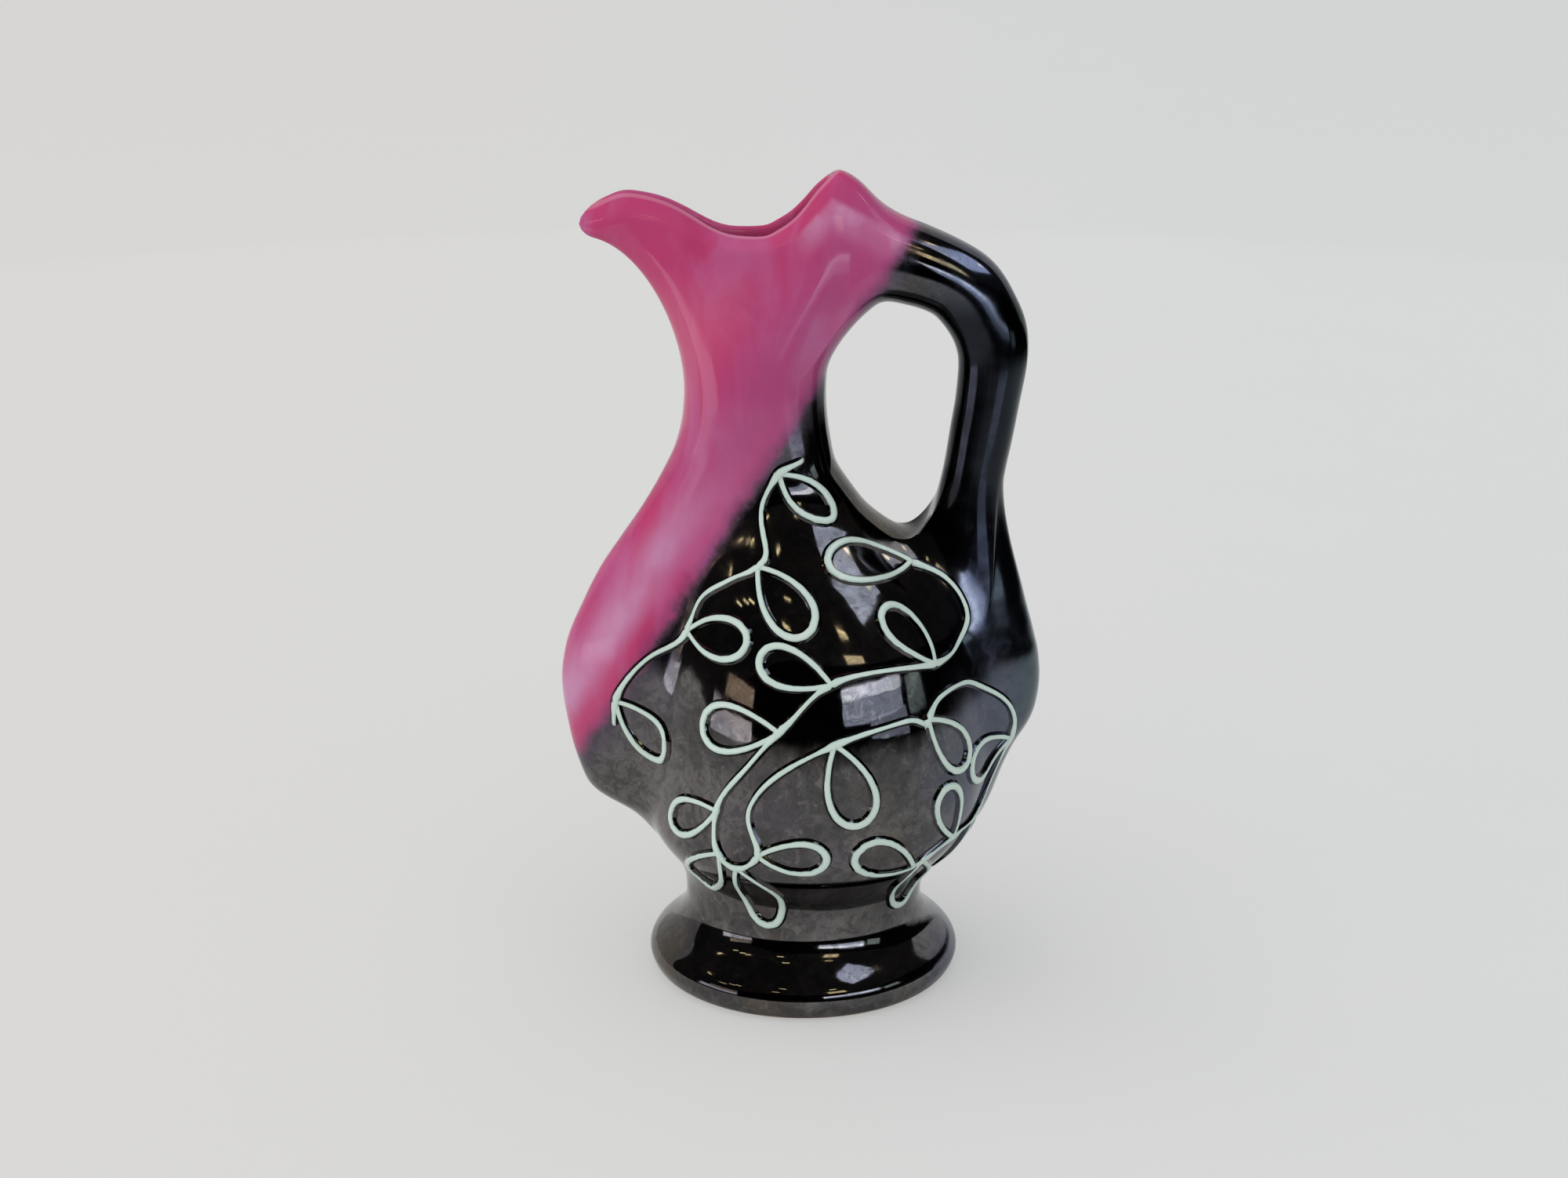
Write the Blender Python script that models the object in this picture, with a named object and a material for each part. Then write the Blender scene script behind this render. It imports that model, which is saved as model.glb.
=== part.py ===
"""A footed ceramic jug: a hollow casting with a beak spout, a pinched crest and two belly lobes,
a handle luted between neck and right lobe, and a leafy vine of raised trailed enamel.

Metres, +Z up. The origin is the middle of the sole. The spout points to -X and the handle to +X,
and the jug is the same on both sides of the XZ plane. Heights are stacked from the sole upwards.
"""

import math

import bmesh
import bpy
import numpy as np
from mathutils import Vector
from mathutils.bvhtree import BVHTree

# Foot and waist
FOOT_RADIUS = 0.0480
FOOT_WIDEST_HEIGHT = 0.0060
SOLE_RADIUS = 0.0450
SOLE_RING_WIDTH = 0.0090
SOLE_RECESS = 0.0020
WAIST_HEIGHT = 0.0230
WAIST_RADIUS = 0.0363

# Round belly, between the two lobes
WAIST_TO_BELLY = 0.0520
BELLY_RADIUS = 0.0520
BELLY_AXIS_X = 0.0060

# Flattened mantle: it falls from the spout to a left lobe, and from the handle to a right lobe
LEFT_LOBE_REACH = 0.0740
RIGHT_LOBE_REACH = 0.0720
LOBE_HALF_DEPTH = 0.0205
LOBE_RISE = 0.0190
LEFT_LOBE_DROP = 0.0480
RIGHT_LOBE_DROP = 0.0600
RIGHT_LOBE_SHELF = 0.0460
MANTLE_POWER = 2.3
JOIN_POWER = 16.0

# Neck, at its narrowest section
BELLY_TO_NECK = 0.1100
NECK_FRONT = 0.0357
NECK_BACK = 0.0064
NECK_HALF_DEPTH = 0.0180

# Mouth, spout and crest
NECK_TO_MOUTH = 0.0440
MOUTH_X = -0.0120
MOUTH_HALF_WIDTH = 0.0122
SPOUT_REACH = 0.0660
SPOUT_CROWN_X = -0.0520
SPOUT_CROWN_RISE = 0.0088
SPOUT_CROWN_ROLL = 0.0062
SPOUT_TIP_RISE = 0.0020
SPOUT_TIP_ROLL = 0.0085
SPOUT_HALF_WIDTH = 0.0085
MOUTH_BACK = 0.0125
CREST_SHOULDER_RISE = 0.0135
CREST_RISE = 0.0118
CREST_LEAN = 0.0500
LIP_RISE = 0.0022
BLUNT_END = 0.62
THROAT_RISE = 1.5
SPOUT_RISE = 1.21
SPOUT_SWEEP = 1.75
SPOUT_FLATTEN = 0.87

# Wall of the casting
WALL = 0.0045
LIP_WIDTH = 0.0048
FLOOR = 0.0060

# Handle, as the centre line of a swept oval bar
HANDLE_REACH = 0.0562
HANDLE_HALF_THICK = 0.0097
HANDLE_HALF_DEPTH = 0.0098
ROOT_HALF_HEIGHT = 0.0180
ROOT_RIDGE = 0.0065
ROOT_FLARE = 0.0130
ROOT_DROP = 0.0045
FOOT_DROP = 0.0070
SEAT_DEPTH = 0.0080

# Trailed enamel; a leaf's length and width are shares of the field from waist to neck
BEAD_WIDTH = 0.0028
BEAD_HEIGHT = 0.0013
BEAD_STEP = 0.0042
BEAD_CROWN = 0.52
LEAF_LENGTH = 0.122
LEAF_WIDTH = 0.080
LEAF_LEAN = 0.7
LEAF_POINTS = 14
LEAF_POINT = 0.3
LEAF_CHANGE = 0.14
LEAF_BEAT = 2.4
STEM_WAVE = 0.0008
STEM_WAVES = 3
STROKE_GAP = 0.0012
STROKE_SEAT = 0.0005

# Gap that touching pieces keep
SEAT_GAP = 0.0004

# Black glaze lies below a line that slants across the jug, and stops just above the sole
GLAZE_TOP = Vector((0.0350, 0.0, 0.2330))
GLAZE_FOOT = Vector((-0.0680, 0.0, 0.0720))
GLAZE_EDGE = 0.0005

# Facets
COLUMNS = 48
HANDLE_SIDES = 16
HANDLE_RINGS = 22

# Heights that follow from the stack above
BELLY_HEIGHT = WAIST_HEIGHT + WAIST_TO_BELLY
NECK_HEIGHT = BELLY_HEIGHT + BELLY_TO_NECK
MOUTH_HEIGHT = NECK_HEIGHT + NECK_TO_MOUTH
LOBE_HEIGHT = BELLY_HEIGHT + LOBE_RISE
SHELF_HEIGHT = LOBE_HEIGHT + RIGHT_LOBE_SHELF
NECK_AXIS_X = (NECK_BACK - NECK_FRONT) / 2
VINE_FIELD = NECK_HEIGHT - WAIST_HEIGHT

PINK = (0.42, 0.045, 0.16, 1.0)
BLACK = (0.012, 0.012, 0.014, 1.0)
MINT = (0.60, 0.74, 0.69, 1.0)
CLAY = (0.62, 0.52, 0.40, 1.0)


def between(low, high, share):
    return low + (high - low) * share


def smooth_curve(points, swing=False):
    """A curve through (place, value) points. Without swing it passes beyond none of them."""
    places, values = (np.array(row, float) for row in zip(*points))
    steps = np.diff(values) / np.diff(places)
    slopes = np.zeros(len(places))
    same_way = steps[:-1] * steps[1:] > 0
    slopes[1:-1][same_way] = (2 * steps[:-1] * steps[1:] / (steps[:-1] + steps[1:] + 1e-12))[same_way]
    if swing:
        slopes[1:-1] = (values[2:] - values[:-2]) / (places[2:] - places[:-2])
    slopes[0], slopes[-1] = steps[0], steps[-1]

    def value(place):
        place = min(max(place, places[0]), places[-1])
        i = min(int(np.searchsorted(places, place, side="right")) - 1, len(steps) - 1)
        width = places[i + 1] - places[i]
        t = (place - places[i]) / width
        ease = t * t * (3 - 2 * t)
        lean = width * t * (1 - t) * ((1 - t) * slopes[i] - t * slopes[i + 1])
        return float(between(values[i], values[i + 1], ease) + lean)

    return value


def stretch(low, high, shares):
    """Points between two ends of a profile, from (share of the height, share of the reach) pairs."""
    return [(between(low[0], high[0], up), between(low[1], high[1], out)) for up, out in shares]


def belly_profile():
    """Radius of the round vase that foot, waist and belly share, fading inside the neck."""
    sole, foot = (0.0, SOLE_RADIUS), (FOOT_WIDEST_HEIGHT, FOOT_RADIUS)
    waist, belly = (WAIST_HEIGHT, WAIST_RADIUS), (BELLY_HEIGHT, BELLY_RADIUS)
    shoulder = (BELLY_HEIGHT + 0.5 * BELLY_TO_NECK, 0.66 * BELLY_RADIUS)
    neck = (NECK_HEIGHT, 0.225 * BELLY_RADIUS)
    return smooth_curve([
        sole, *stretch(sole, foot, [(0.42, 0.67)]),
        foot, *stretch(foot, waist, [(0.18, 0.09), (0.35, 0.33), (0.50, 0.60), (0.68, 0.82)]),
        waist, *stretch(waist, belly, [(0.14, 0.04), (0.22, 0.15), (0.29, 0.30), (0.35, 0.48), (0.42, 0.68),
                                       (0.52, 0.86), (0.67, 0.97)]),
        belly, *stretch(belly, shoulder, [(0.27, 0.09), (0.45, 0.21), (0.67, 0.43), (0.85, 0.72)]),
        shoulder, *stretch(shoulder, neck, [(0.18, 0.35), (0.30, 0.54), (0.49, 0.77)]),
        neck, (MOUTH_HEIGHT, neck[1]),
    ])


def left_profile():
    """Reach of the mantle towards the spout's side, from under the left lobe up to the neck."""
    foot = (LOBE_HEIGHT - 1.42 * LEFT_LOBE_DROP, 0.4 * WAIST_RADIUS)
    lobe = (LOBE_HEIGHT, LEFT_LOBE_REACH)
    neck = (NECK_HEIGHT, NECK_FRONT)
    return smooth_curve([
        foot, *stretch(foot, lobe, [(0.22, 0.45), (0.36, 0.63), (0.42, 0.77), (0.49, 0.87), (0.57, 0.91),
                                    (0.72, 0.96)]),
        lobe, *stretch(lobe, neck, [(0.11, 0.04), (0.28, 0.20), (0.49, 0.49), (0.71, 0.82), (0.81, 0.93),
                                    (0.92, 0.99)]),
        neck, (MOUTH_HEIGHT, NECK_FRONT),
    ])


def right_profile():
    """Reach of the mantle towards the handle: a lobe with a shelf that the handle stands on."""
    foot = (LOBE_HEIGHT - 1.25 * RIGHT_LOBE_DROP, 0.4 * WAIST_RADIUS)
    lobe = (LOBE_HEIGHT, RIGHT_LOBE_REACH)
    neck = (NECK_HEIGHT, NECK_BACK)
    shelf = (SHELF_HEIGHT, between(NECK_BACK, RIGHT_LOBE_REACH, 0.36))
    return smooth_curve([
        foot, *stretch(foot, lobe, [(0.20, 0.36), (0.27, 0.51), (0.34, 0.61), (0.41, 0.68), (0.52, 0.74),
                                    (0.61, 0.79), (0.68, 0.83), (0.75, 0.88), (0.81, 0.94), (0.88, 0.98)]),
        lobe, *stretch(lobe, shelf, [(0.39, 0.06), (0.67, 0.26), (0.87, 0.65)]),
        shelf, *stretch(shelf, neck, [(0.15, 0.42), (0.30, 0.65), (0.54, 0.90)]),
        neck, (MOUTH_HEIGHT, NECK_BACK),
    ])


def depth_profile():
    """Half depth of the mantle across the jug."""
    foot = LOBE_HEIGHT - LEFT_LOBE_DROP
    return smooth_curve([
        (foot - 0.42 * LEFT_LOBE_DROP, 0.45 * LOBE_HALF_DEPTH),
        (foot, 0.56 * LOBE_HALF_DEPTH),
        (foot + 0.37 * LEFT_LOBE_DROP, 0.84 * LOBE_HALF_DEPTH),
        (LOBE_HEIGHT, LOBE_HALF_DEPTH),
        (NECK_HEIGHT, NECK_HALF_DEPTH),
        (MOUTH_HEIGHT, NECK_HALF_DEPTH),
    ])


def axis_profile():
    """Where the middle of each level lies: it leans from the foot to the neck."""
    return smooth_curve([
        (0.0, 0.0),
        (WAIST_HEIGHT, 0.0),
        (between(WAIST_HEIGHT, BELLY_HEIGHT, 0.42), 0.3 * BELLY_AXIS_X),
        (BELLY_HEIGHT, BELLY_AXIS_X),
        (between(BELLY_HEIGHT, NECK_HEIGHT, 0.33), 0.9 * BELLY_AXIS_X),
        (between(BELLY_HEIGHT, NECK_HEIGHT, 0.50), 0.0),
        (NECK_HEIGHT, NECK_AXIS_X),
        (MOUTH_HEIGHT, NECK_AXIS_X),
    ])


def spread_profile():
    """How far the columns crowd towards the lobes: 1 is an even spread."""
    return smooth_curve([
        (0.0, 0.80),
        (WAIST_HEIGHT, 0.60),
        (between(WAIST_HEIGHT, BELLY_HEIGHT, 0.4), 0.50),
        (SHELF_HEIGHT, 0.50),
        (NECK_HEIGHT, 0.85),
    ])


BELLY, LEFT, RIGHT = belly_profile(), left_profile(), right_profile()
DEPTH, AXIS, SPREAD = depth_profile(), axis_profile(), spread_profile()


def inset(profile, height, wall):
    """A profile's value one wall inside it, measured square to the profile."""
    offsets = np.linspace(-wall, wall, 13)
    return min(profile(height + d) - math.sqrt(max(wall * wall - d * d, 0.0)) for d in offsets)


def level_point(turn, height, wall=0.0):
    """A point of the casting below the neck: a round belly smoothly joined with a flat mantle."""
    sizes = [inset(p, height, wall) if wall else p(height) for p in (BELLY, LEFT, RIGHT, DEPTH)]
    belly, left, right, depth = (max(size, 0.001) for size in sizes)
    axis = AXIS(height)
    angle = math.atan2(SPREAD(height) * math.sin(turn), math.cos(turn))
    cosine, sine = math.cos(angle), math.sin(angle)
    reach = max((right - axis) if cosine > 0 else (left + axis), 0.001)
    mantle = ((abs(cosine) / reach) ** MANTLE_POWER + (abs(sine) / depth) ** MANTLE_POWER)
    mantle = mantle ** (-1 / MANTLE_POWER)
    radius = (belly ** JOIN_POWER + mantle ** JOIN_POWER) ** (1 / JOIN_POWER)
    return Vector((axis + radius * cosine, radius * sine, height))


RIM_HEIGHT = smooth_curve([
    (-SPOUT_REACH, MOUTH_HEIGHT + SPOUT_TIP_RISE),
    (SPOUT_CROWN_X, MOUTH_HEIGHT + SPOUT_CROWN_RISE),
    (MOUTH_X, MOUTH_HEIGHT),
    (MOUTH_BACK, MOUTH_HEIGHT + CREST_SHOULDER_RISE),
])
RIM_HALF_WIDTH = smooth_curve([
    (-SPOUT_REACH, SPOUT_HALF_WIDTH),
    (SPOUT_CROWN_X, SPOUT_HALF_WIDTH),
    (MOUTH_X, MOUTH_HALF_WIDTH),
    (MOUTH_BACK, MOUTH_HALF_WIDTH),
])
SLOT_HALF_WIDTH = smooth_curve([
    (-SPOUT_REACH, SPOUT_HALF_WIDTH - LIP_WIDTH),
    (SPOUT_CROWN_X, SPOUT_HALF_WIDTH - LIP_WIDTH),
    (MOUTH_X, MOUTH_HALF_WIDTH - LIP_WIDTH),
    (MOUTH_BACK, 0.3 * (MOUTH_HALF_WIDTH - LIP_WIDTH)),
])
RIM_RISE = smooth_curve([
    (-SPOUT_REACH, SPOUT_TIP_ROLL),
    (SPOUT_CROWN_X, SPOUT_CROWN_ROLL),
    (MOUTH_X, LIP_RISE),
    (between(MOUTH_X, MOUTH_BACK, 0.5), 1.4 * LIP_RISE),
    (MOUTH_BACK, CREST_RISE),
])


def rim_point(turn, lip=0.0):
    """A point on the mouth's edge: lip runs from 0, outside, over the crown to 1, inside."""
    cosine, sine = math.cos(turn), math.sin(turn)
    end = MOUTH_BACK - MOUTH_X if cosine > 0 else SPOUT_REACH + MOUTH_X
    x = MOUTH_X + cosine * (end - lip * LIP_WIDTH)
    width = between(RIM_HALF_WIDTH(x), SLOT_HALF_WIDTH(x), lip)
    y = math.copysign(width * abs(sine) ** BLUNT_END, sine)
    return Vector((x, y, RIM_HEIGHT(x) + RIM_RISE(x) * math.sin(math.pi * 0.8 * lip)))


def throat_point(turn, share, lip=0.0):
    """A point between the neck (share 0) and the mouth's edge (share 1), on one smooth sweep."""
    start = level_point(turn, NECK_HEIGHT, WALL * lip)
    end = rim_point(turn, lip)
    rise = end.z - start.z
    front, back = max(-math.cos(turn), 0.0) ** 2, max(math.cos(turn), 0.0) ** 2
    leave = Vector((0.0, 0.0, between(THROAT_RISE, SPOUT_RISE, front) * rise))
    sweep = SPOUT_SWEEP * front * (end.x - start.x) - back * CREST_LEAN
    arrive = Vector((sweep, 0.0, (1 - SPOUT_FLATTEN * front) * rise))
    t = share
    return (start * (2 * t**3 - 3 * t**2 + 1) + leave * (t**3 - 2 * t**2 + t)
            + end * (3 * t**2 - 2 * t**3) + arrive * (t**3 - t**2))


def turns():
    return [2 * math.pi * i / COLUMNS for i in range(COLUMNS)]


def stations(stops):
    """Heights from stop to stop, with the number of even steps that each stretch asks for."""
    heights = [stops[0][0]]
    for (low, _), (high, steps) in zip(stops, stops[1:]):
        heights += [between(low, high, (i + 1) / steps) for i in range(steps)]
    return heights


def outer_rings():
    heights = stations([
        (0.0, 0), (FOOT_WIDEST_HEIGHT, 2), (WAIST_HEIGHT, 4), (LOBE_HEIGHT - LEFT_LOBE_DROP, 4),
        (BELLY_HEIGHT, 5), (LOBE_HEIGHT, 3), (between(LOBE_HEIGHT, SHELF_HEIGHT, 0.7), 3),
        (SHELF_HEIGHT, 4), (NECK_HEIGHT, 5),
    ])
    rings = [[level_point(turn, height) for turn in turns()] for height in heights]
    rings += [[throat_point(turn, share) for turn in turns()] for share in stations([(0, 0), (1, 7)])[1:]]
    return rings


def lip_rings():
    return [[rim_point(turn, lip) for turn in turns()] for lip in (0.3, 0.7, 1.0)]


def inner_rings():
    """The inside, from the mouth down to the floor, one wall behind the outside."""
    heights = stations([
        (NECK_HEIGHT, 0), (SHELF_HEIGHT, 4), (between(LOBE_HEIGHT, SHELF_HEIGHT, 0.6), 3),
        (LOBE_HEIGHT, 2), (BELLY_HEIGHT, 2), (WAIST_HEIGHT, 6), (FLOOR, 3),
    ])
    shares = stations([(1, 0), (0, 6)])[1:-1]
    rings = [[throat_point(turn, share, 1.0) for turn in turns()] for share in shares]
    rings += [[level_point(turn, height, WALL) for turn in turns()] for height in heights]
    return rings


def loft(bm, rings, closed_rows=False):
    """Extrudes the first ring through the others. Returns the edges of the first and last rings."""
    circle = bmesh.ops.create_circle(bm, segments=len(rings[0]), radius=1.0)["verts"]
    edges = list({edge for vert in circle for edge in vert.link_edges})
    row = ordered(edges)
    for vert, point in zip(row, rings[0]):
        vert.co = point
    first = edges
    for ring in rings[1:]:
        grown = bmesh.ops.extrude_edge_only(bm, edges=edges)["geom"]
        edges = [item for item in grown if isinstance(item, bmesh.types.BMEdge)
                 and all(vert not in row for vert in item.verts)]
        fresh = {vert for edge in edges for vert in edge.verts}
        row = [next(e.other_vert(v) for e in v.link_edges if e.other_vert(v) in fresh) for v in row]
        for vert, point in zip(row, ring):
            vert.co = point
    if closed_rows:
        bmesh.ops.bridge_loops(bm, edges=first + edges)
    return first, edges


def ordered(edges):
    """The vertices of one closed loop of edges, in the order they follow each other."""
    start = edges[0].verts[0]
    row, edge = [start], edges[0]
    pool = set(edges)
    while True:
        vert = edge.other_vert(row[-1])
        if vert is start:
            return row
        row.append(vert)
        edge = next(e for e in vert.link_edges if e in pool and e is not edge)


def close_to_point(bm, edges, point):
    """Closes a loop of edges with a fan around one middle point."""
    grown = bmesh.ops.extrude_edge_only(bm, edges=edges)["geom"]
    verts = [item for item in grown if isinstance(item, bmesh.types.BMVert)]
    bmesh.ops.pointmerge(bm, verts=verts, merge_co=point)


def finish(bm, name, material):
    """Turns the faces outwards and makes the named object."""
    bmesh.ops.recalc_face_normals(bm, faces=bm.faces)
    mesh = bpy.data.meshes.new(name)
    bm.to_mesh(mesh)
    bm.free()
    mesh.materials.append(material)
    mesh.shade_smooth()
    piece = bpy.data.objects.new(name, mesh)
    bpy.context.collection.objects.link(piece)
    return piece


def glaze(name, color, roughness, metallic=0.0):
    material = bpy.data.materials.new(name)
    material.use_nodes = True
    shader = material.node_tree.nodes["Principled BSDF"]
    shader.inputs["Base Color"].default_value = color
    shader.inputs["Roughness"].default_value = roughness
    shader.inputs["Metallic"].default_value = metallic
    return material


def sole_rings():
    """From the recess under the jug out to the sole ring that it stands on."""
    inner = SOLE_RADIUS - SOLE_RING_WIDTH
    edge = inner - SOLE_RECESS
    return [[Vector((radius * math.cos(turn), radius * math.sin(turn), height)) for turn in turns()]
            for radius, height in ((edge, SOLE_RECESS), (inner, 0.0))]


def make_body(pink, black, clay):
    bm = bmesh.new()
    first, last = loft(bm, sole_rings() + outer_rings() + lip_rings() + inner_rings())
    close_to_point(bm, first, Vector((0.0, 0.0, SOLE_RECESS)))
    close_to_point(bm, last, Vector((0.0, 0.0, FLOOR)))
    body = finish(bm, "body", pink)
    body.data.materials.append(black)
    body.data.materials.append(clay)
    for face in body.data.polygons:
        low = face.center.z < GLAZE_EDGE
        face.material_index = 2 if low else int(below_glaze_line(face.center))
    return body


def below_glaze_line(point):
    """Whether a point of the surface lies on the black side of the slanting glaze line."""
    along = (point.z - GLAZE_FOOT.z) / (GLAZE_TOP.z - GLAZE_FOOT.z)
    return point.x > between(GLAZE_FOOT.x, GLAZE_TOP.x, along)


def outer_solid(gap):
    """The casting's outside as one closed solid, grown by a gap, to cut seats with."""
    bm = bmesh.new()
    rings = outer_rings()
    rings.append([rim_point(turn, 0.35) for turn in turns()])
    rings.append([point + Vector((0.0, 0.0, 2 * CREST_SHOULDER_RISE)) for point in rings[-1]])
    first, last = loft(bm, rings)
    close_to_point(bm, first, Vector((0.0, 0.0, 0.0)))
    close_to_point(bm, last, Vector((MOUTH_X, 0.0, MOUTH_HEIGHT + 3 * CREST_SHOULDER_RISE)))
    bmesh.ops.recalc_face_normals(bm, faces=bm.faces)
    bm.normal_update()
    for vert, normal in [(vert, vert.normal.copy()) for vert in bm.verts]:
        vert.co += normal * gap
    return bm


def handle_path():
    """Centre line of the handle from neck to lobe, as (x, z, half thickness, half depth, ridge, flare)."""
    top = MOUTH_HEIGHT - ROOT_DROP
    foot = SHELF_HEIGHT - FOOT_DROP
    rise = top - foot
    thick, depth = HANDLE_HALF_THICK, HANDLE_HALF_DEPTH
    bend = [between(MOUTH_BACK, HANDLE_REACH, share) for share in (0.07, 0.27, 0.48, 0.72, 0.92)]
    return [
        (MOUTH_BACK - SEAT_DEPTH, top, 1.02 * ROOT_HALF_HEIGHT, 1.15 * depth, ROOT_RIDGE, ROOT_FLARE),
        (between(MOUTH_BACK, HANDLE_REACH, -0.03), top, ROOT_HALF_HEIGHT, 1.15 * depth, 0.9 * ROOT_RIDGE,
         0.52 * ROOT_FLARE),
        (bend[0], top, 0.98 * ROOT_HALF_HEIGHT, 1.15 * depth, 0.75 * ROOT_RIDGE, 0.12 * ROOT_FLARE),
        (bend[1], top, 0.80 * ROOT_HALF_HEIGHT, 1.14 * depth, 0.25 * ROOT_RIDGE, 0.0),
        (bend[2], top - 0.022 * rise, 1.28 * thick, 1.12 * depth, 0.0, 0.0),
        (bend[3], top - 0.070 * rise, 1.24 * thick, 1.06 * depth, 0.0, 0.0),
        (bend[4], foot + 0.83 * rise, 1.20 * thick, 1.02 * depth, 0.0, 0.0),
        (HANDLE_REACH, foot + 0.64 * rise, 1.07 * thick, depth, 0.0, 0.0),
        (0.946 * HANDLE_REACH, foot + 0.41 * rise, 0.95 * thick, 0.96 * depth, 0.0, 0.0),
        (0.890 * HANDLE_REACH, foot + 0.20 * rise, 1.02 * thick, depth, 0.0, 0.0),
        (0.860 * HANDLE_REACH, foot + 0.09 * rise, 1.26 * thick, 1.12 * depth, 0.0, 0.0),
        (0.838 * HANDLE_REACH, foot, 1.58 * thick, 1.30 * depth, 0.0, 0.0),
        (0.845 * HANDLE_REACH, foot - 1.8 * SEAT_DEPTH, 1.72 * thick, 1.45 * depth, 0.0, 0.0),
    ]


def handle_rings():
    """Oval sections square to the centre line, ridged above and flared below at the neck."""
    path = handle_path()
    hops = [math.dist(a[:2], b[:2]) for a, b in zip(path, path[1:])]
    places = [sum(hops[:i]) for i in range(len(path))]
    curves = [smooth_curve(list(zip(places, column)), swing=True) for column in zip(*path)]
    nudge = 0.001
    rings = []
    for i in range(HANDLE_RINGS + 1):
        place = places[-1] * i / HANDLE_RINGS
        x, z, thick, depth, ridge, flare = (curve(place) for curve in curves)
        run_x, run_z = (curve(place + nudge) - curve(place - nudge) for curve in curves[:2])
        across = Vector((-run_z, 0.0, run_x)).normalized()
        middle = Vector((x, 0.0, z))
        ring = []
        for k in range(HANDLE_SIDES):
            turn = 2 * math.pi * k / HANDLE_SIDES
            rise, fall = max(math.cos(turn), 0.0), max(-math.cos(turn), 0.0)
            lift = thick * (rise - fall) + max(ridge, 0.0) * rise**4 - max(flare, 0.0) * fall**2
            ring.append(middle + across * lift + Vector((0.0, depth * math.sin(turn), 0.0)))
        rings.append(ring)
    return rings


def make_handle(material, cutter):
    bm = bmesh.new()
    first, last = loft(bm, handle_rings())
    for loop in (first, last):
        bmesh.ops.contextual_create(bm, geom=loop)
    handle = finish(bm, "handle", material)
    cut = handle.modifiers.new("seats on the casting", "BOOLEAN")
    cut.operation = "DIFFERENCE"
    cut.object = cutter
    return handle


def make_cutter(bm):
    cutter = finish(bm, "seat_cutter", glaze("guide", CLAY, 0.5))
    cutter.hide_render = True
    cutter.display_type = "WIRE"
    return cutter


# Each vine has a stem, as (turn, height) points, and leaves as shares of the stem's length with
# the side that they grow on and their tilt from the stem in degrees. Turn runs from 0 at the spout
# to 1 at the handle, and height from 0 at the waist to 1 at the neck.
VINES = [
    ([(0.66, 0.89), (0.54, 0.87), (0.46, 0.81), (0.45, 0.72), (0.37, 0.68), (0.29, 0.63), (0.25, 0.56),
      (0.19, 0.52), (0.16, 0.45), (0.14, 0.37)],
     [(0.08, 1, 90), (0.34, 1, 92), (0.63, 1, 112), (0.92, 1, 60)]),
    ([(0.785, 0.69), (0.82, 0.655), (0.80, 0.59), (0.74, 0.55), (0.66, 0.53), (0.52, 0.53), (0.46, 0.45),
      (0.42, 0.36), (0.39, 0.28), (0.395, 0.20), (0.42, 0.165), (0.445, 0.20), (0.43, 0.28), (0.46, 0.36),
      (0.52, 0.43), (0.58, 0.45)],
     [(0.0, -1, 150), (0.20, -1, 62), (0.345, -1, 48), (0.43, -1, 45), (0.57, -1, 54), (0.625, -1, 65),
      (0.655, -1, 80), (0.70, -1, 72), (0.90, -1, 95)]),
    ([(0.61, 0.43), (0.65, 0.47), (0.74, 0.48), (0.82, 0.44), (0.87, 0.37), (0.88, 0.28), (0.80, 0.21),
      (0.70, 0.19), (0.62, 0.15)],
     [(0.02, -1, 100), (0.50, -1, 66), (0.73, 1, 75), (0.86, -1, 80), (0.97, 1, 75), (1.0, -1, 55)]),
]


class Surface:
    """The facets of the casting's outside, to lay the trailed strokes on."""

    def __init__(self):
        self.bm = outer_solid(0.0)
        self.bm.faces.ensure_lookup_table()
        self.tree = BVHTree.FromBMesh(self.bm)

    def seat(self, point):
        """The nearest point of the facets, and the smooth normal there."""
        place, _, index, _ = self.tree.find_nearest(point)
        normal = Vector()
        for vert in self.bm.faces[index].verts:
            normal += vert.normal / ((vert.co - place).length + 1e-4)
        return place, normal.normalized()

    def section(self, point, run, width):
        """Four corners of a bead that lies along the surface, just clear of its facets."""
        place, normal = self.seat(point)
        across = normal.cross(run).normalized()
        corners = []
        for side in (-0.5, 0.5):
            foot, _ = self.seat(place + across * side * width)
            corners.append(foot + normal * STROKE_SEAT)
        for side in (0.5 * BEAD_CROWN, -0.5 * BEAD_CROWN):
            corners.append(place + across * side * width + normal * (STROKE_SEAT + BEAD_HEIGHT))
        return corners


def evenly(points, step):
    """The same line with its points one step apart, as near as whole steps allow."""
    hops = np.cumsum([0.0] + [(b - a).length for a, b in zip(points, points[1:])])
    marks = np.linspace(0.0, hops[-1], round(hops[-1] / step) + 1)
    columns = list(zip(*points))
    return [Vector([float(np.interp(mark, hops, column)) for column in columns]) for mark in marks]


def stem_points(surface, route, side):
    """Points along a stem, a bead step apart, swinging gently from side to side."""
    curves = [smooth_curve(list(zip(range(len(route)), column)), swing=True) for column in zip(*route)]
    fine = []
    for i in range(12 * (len(route) - 1) + 1):
        turn, height = (curve(i / 12) for curve in curves)
        fine.append(level_point(math.pi * (1 + side * turn), between(WAIST_HEIGHT, NECK_HEIGHT, height)))
    fine = evenly(fine, BEAD_STEP / 2)
    waved = []
    for i, (point, run) in enumerate(zip(fine, directions(fine))):
        outward = surface.seat(point)[1].cross(run).normalized() * side
        swing = STEM_WAVE * math.sin(2 * math.pi * STEM_WAVES * i / (len(fine) - 1))
        waved.append(surface.seat(point + outward * swing)[0])
    return evenly(waved, BEAD_STEP)


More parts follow.
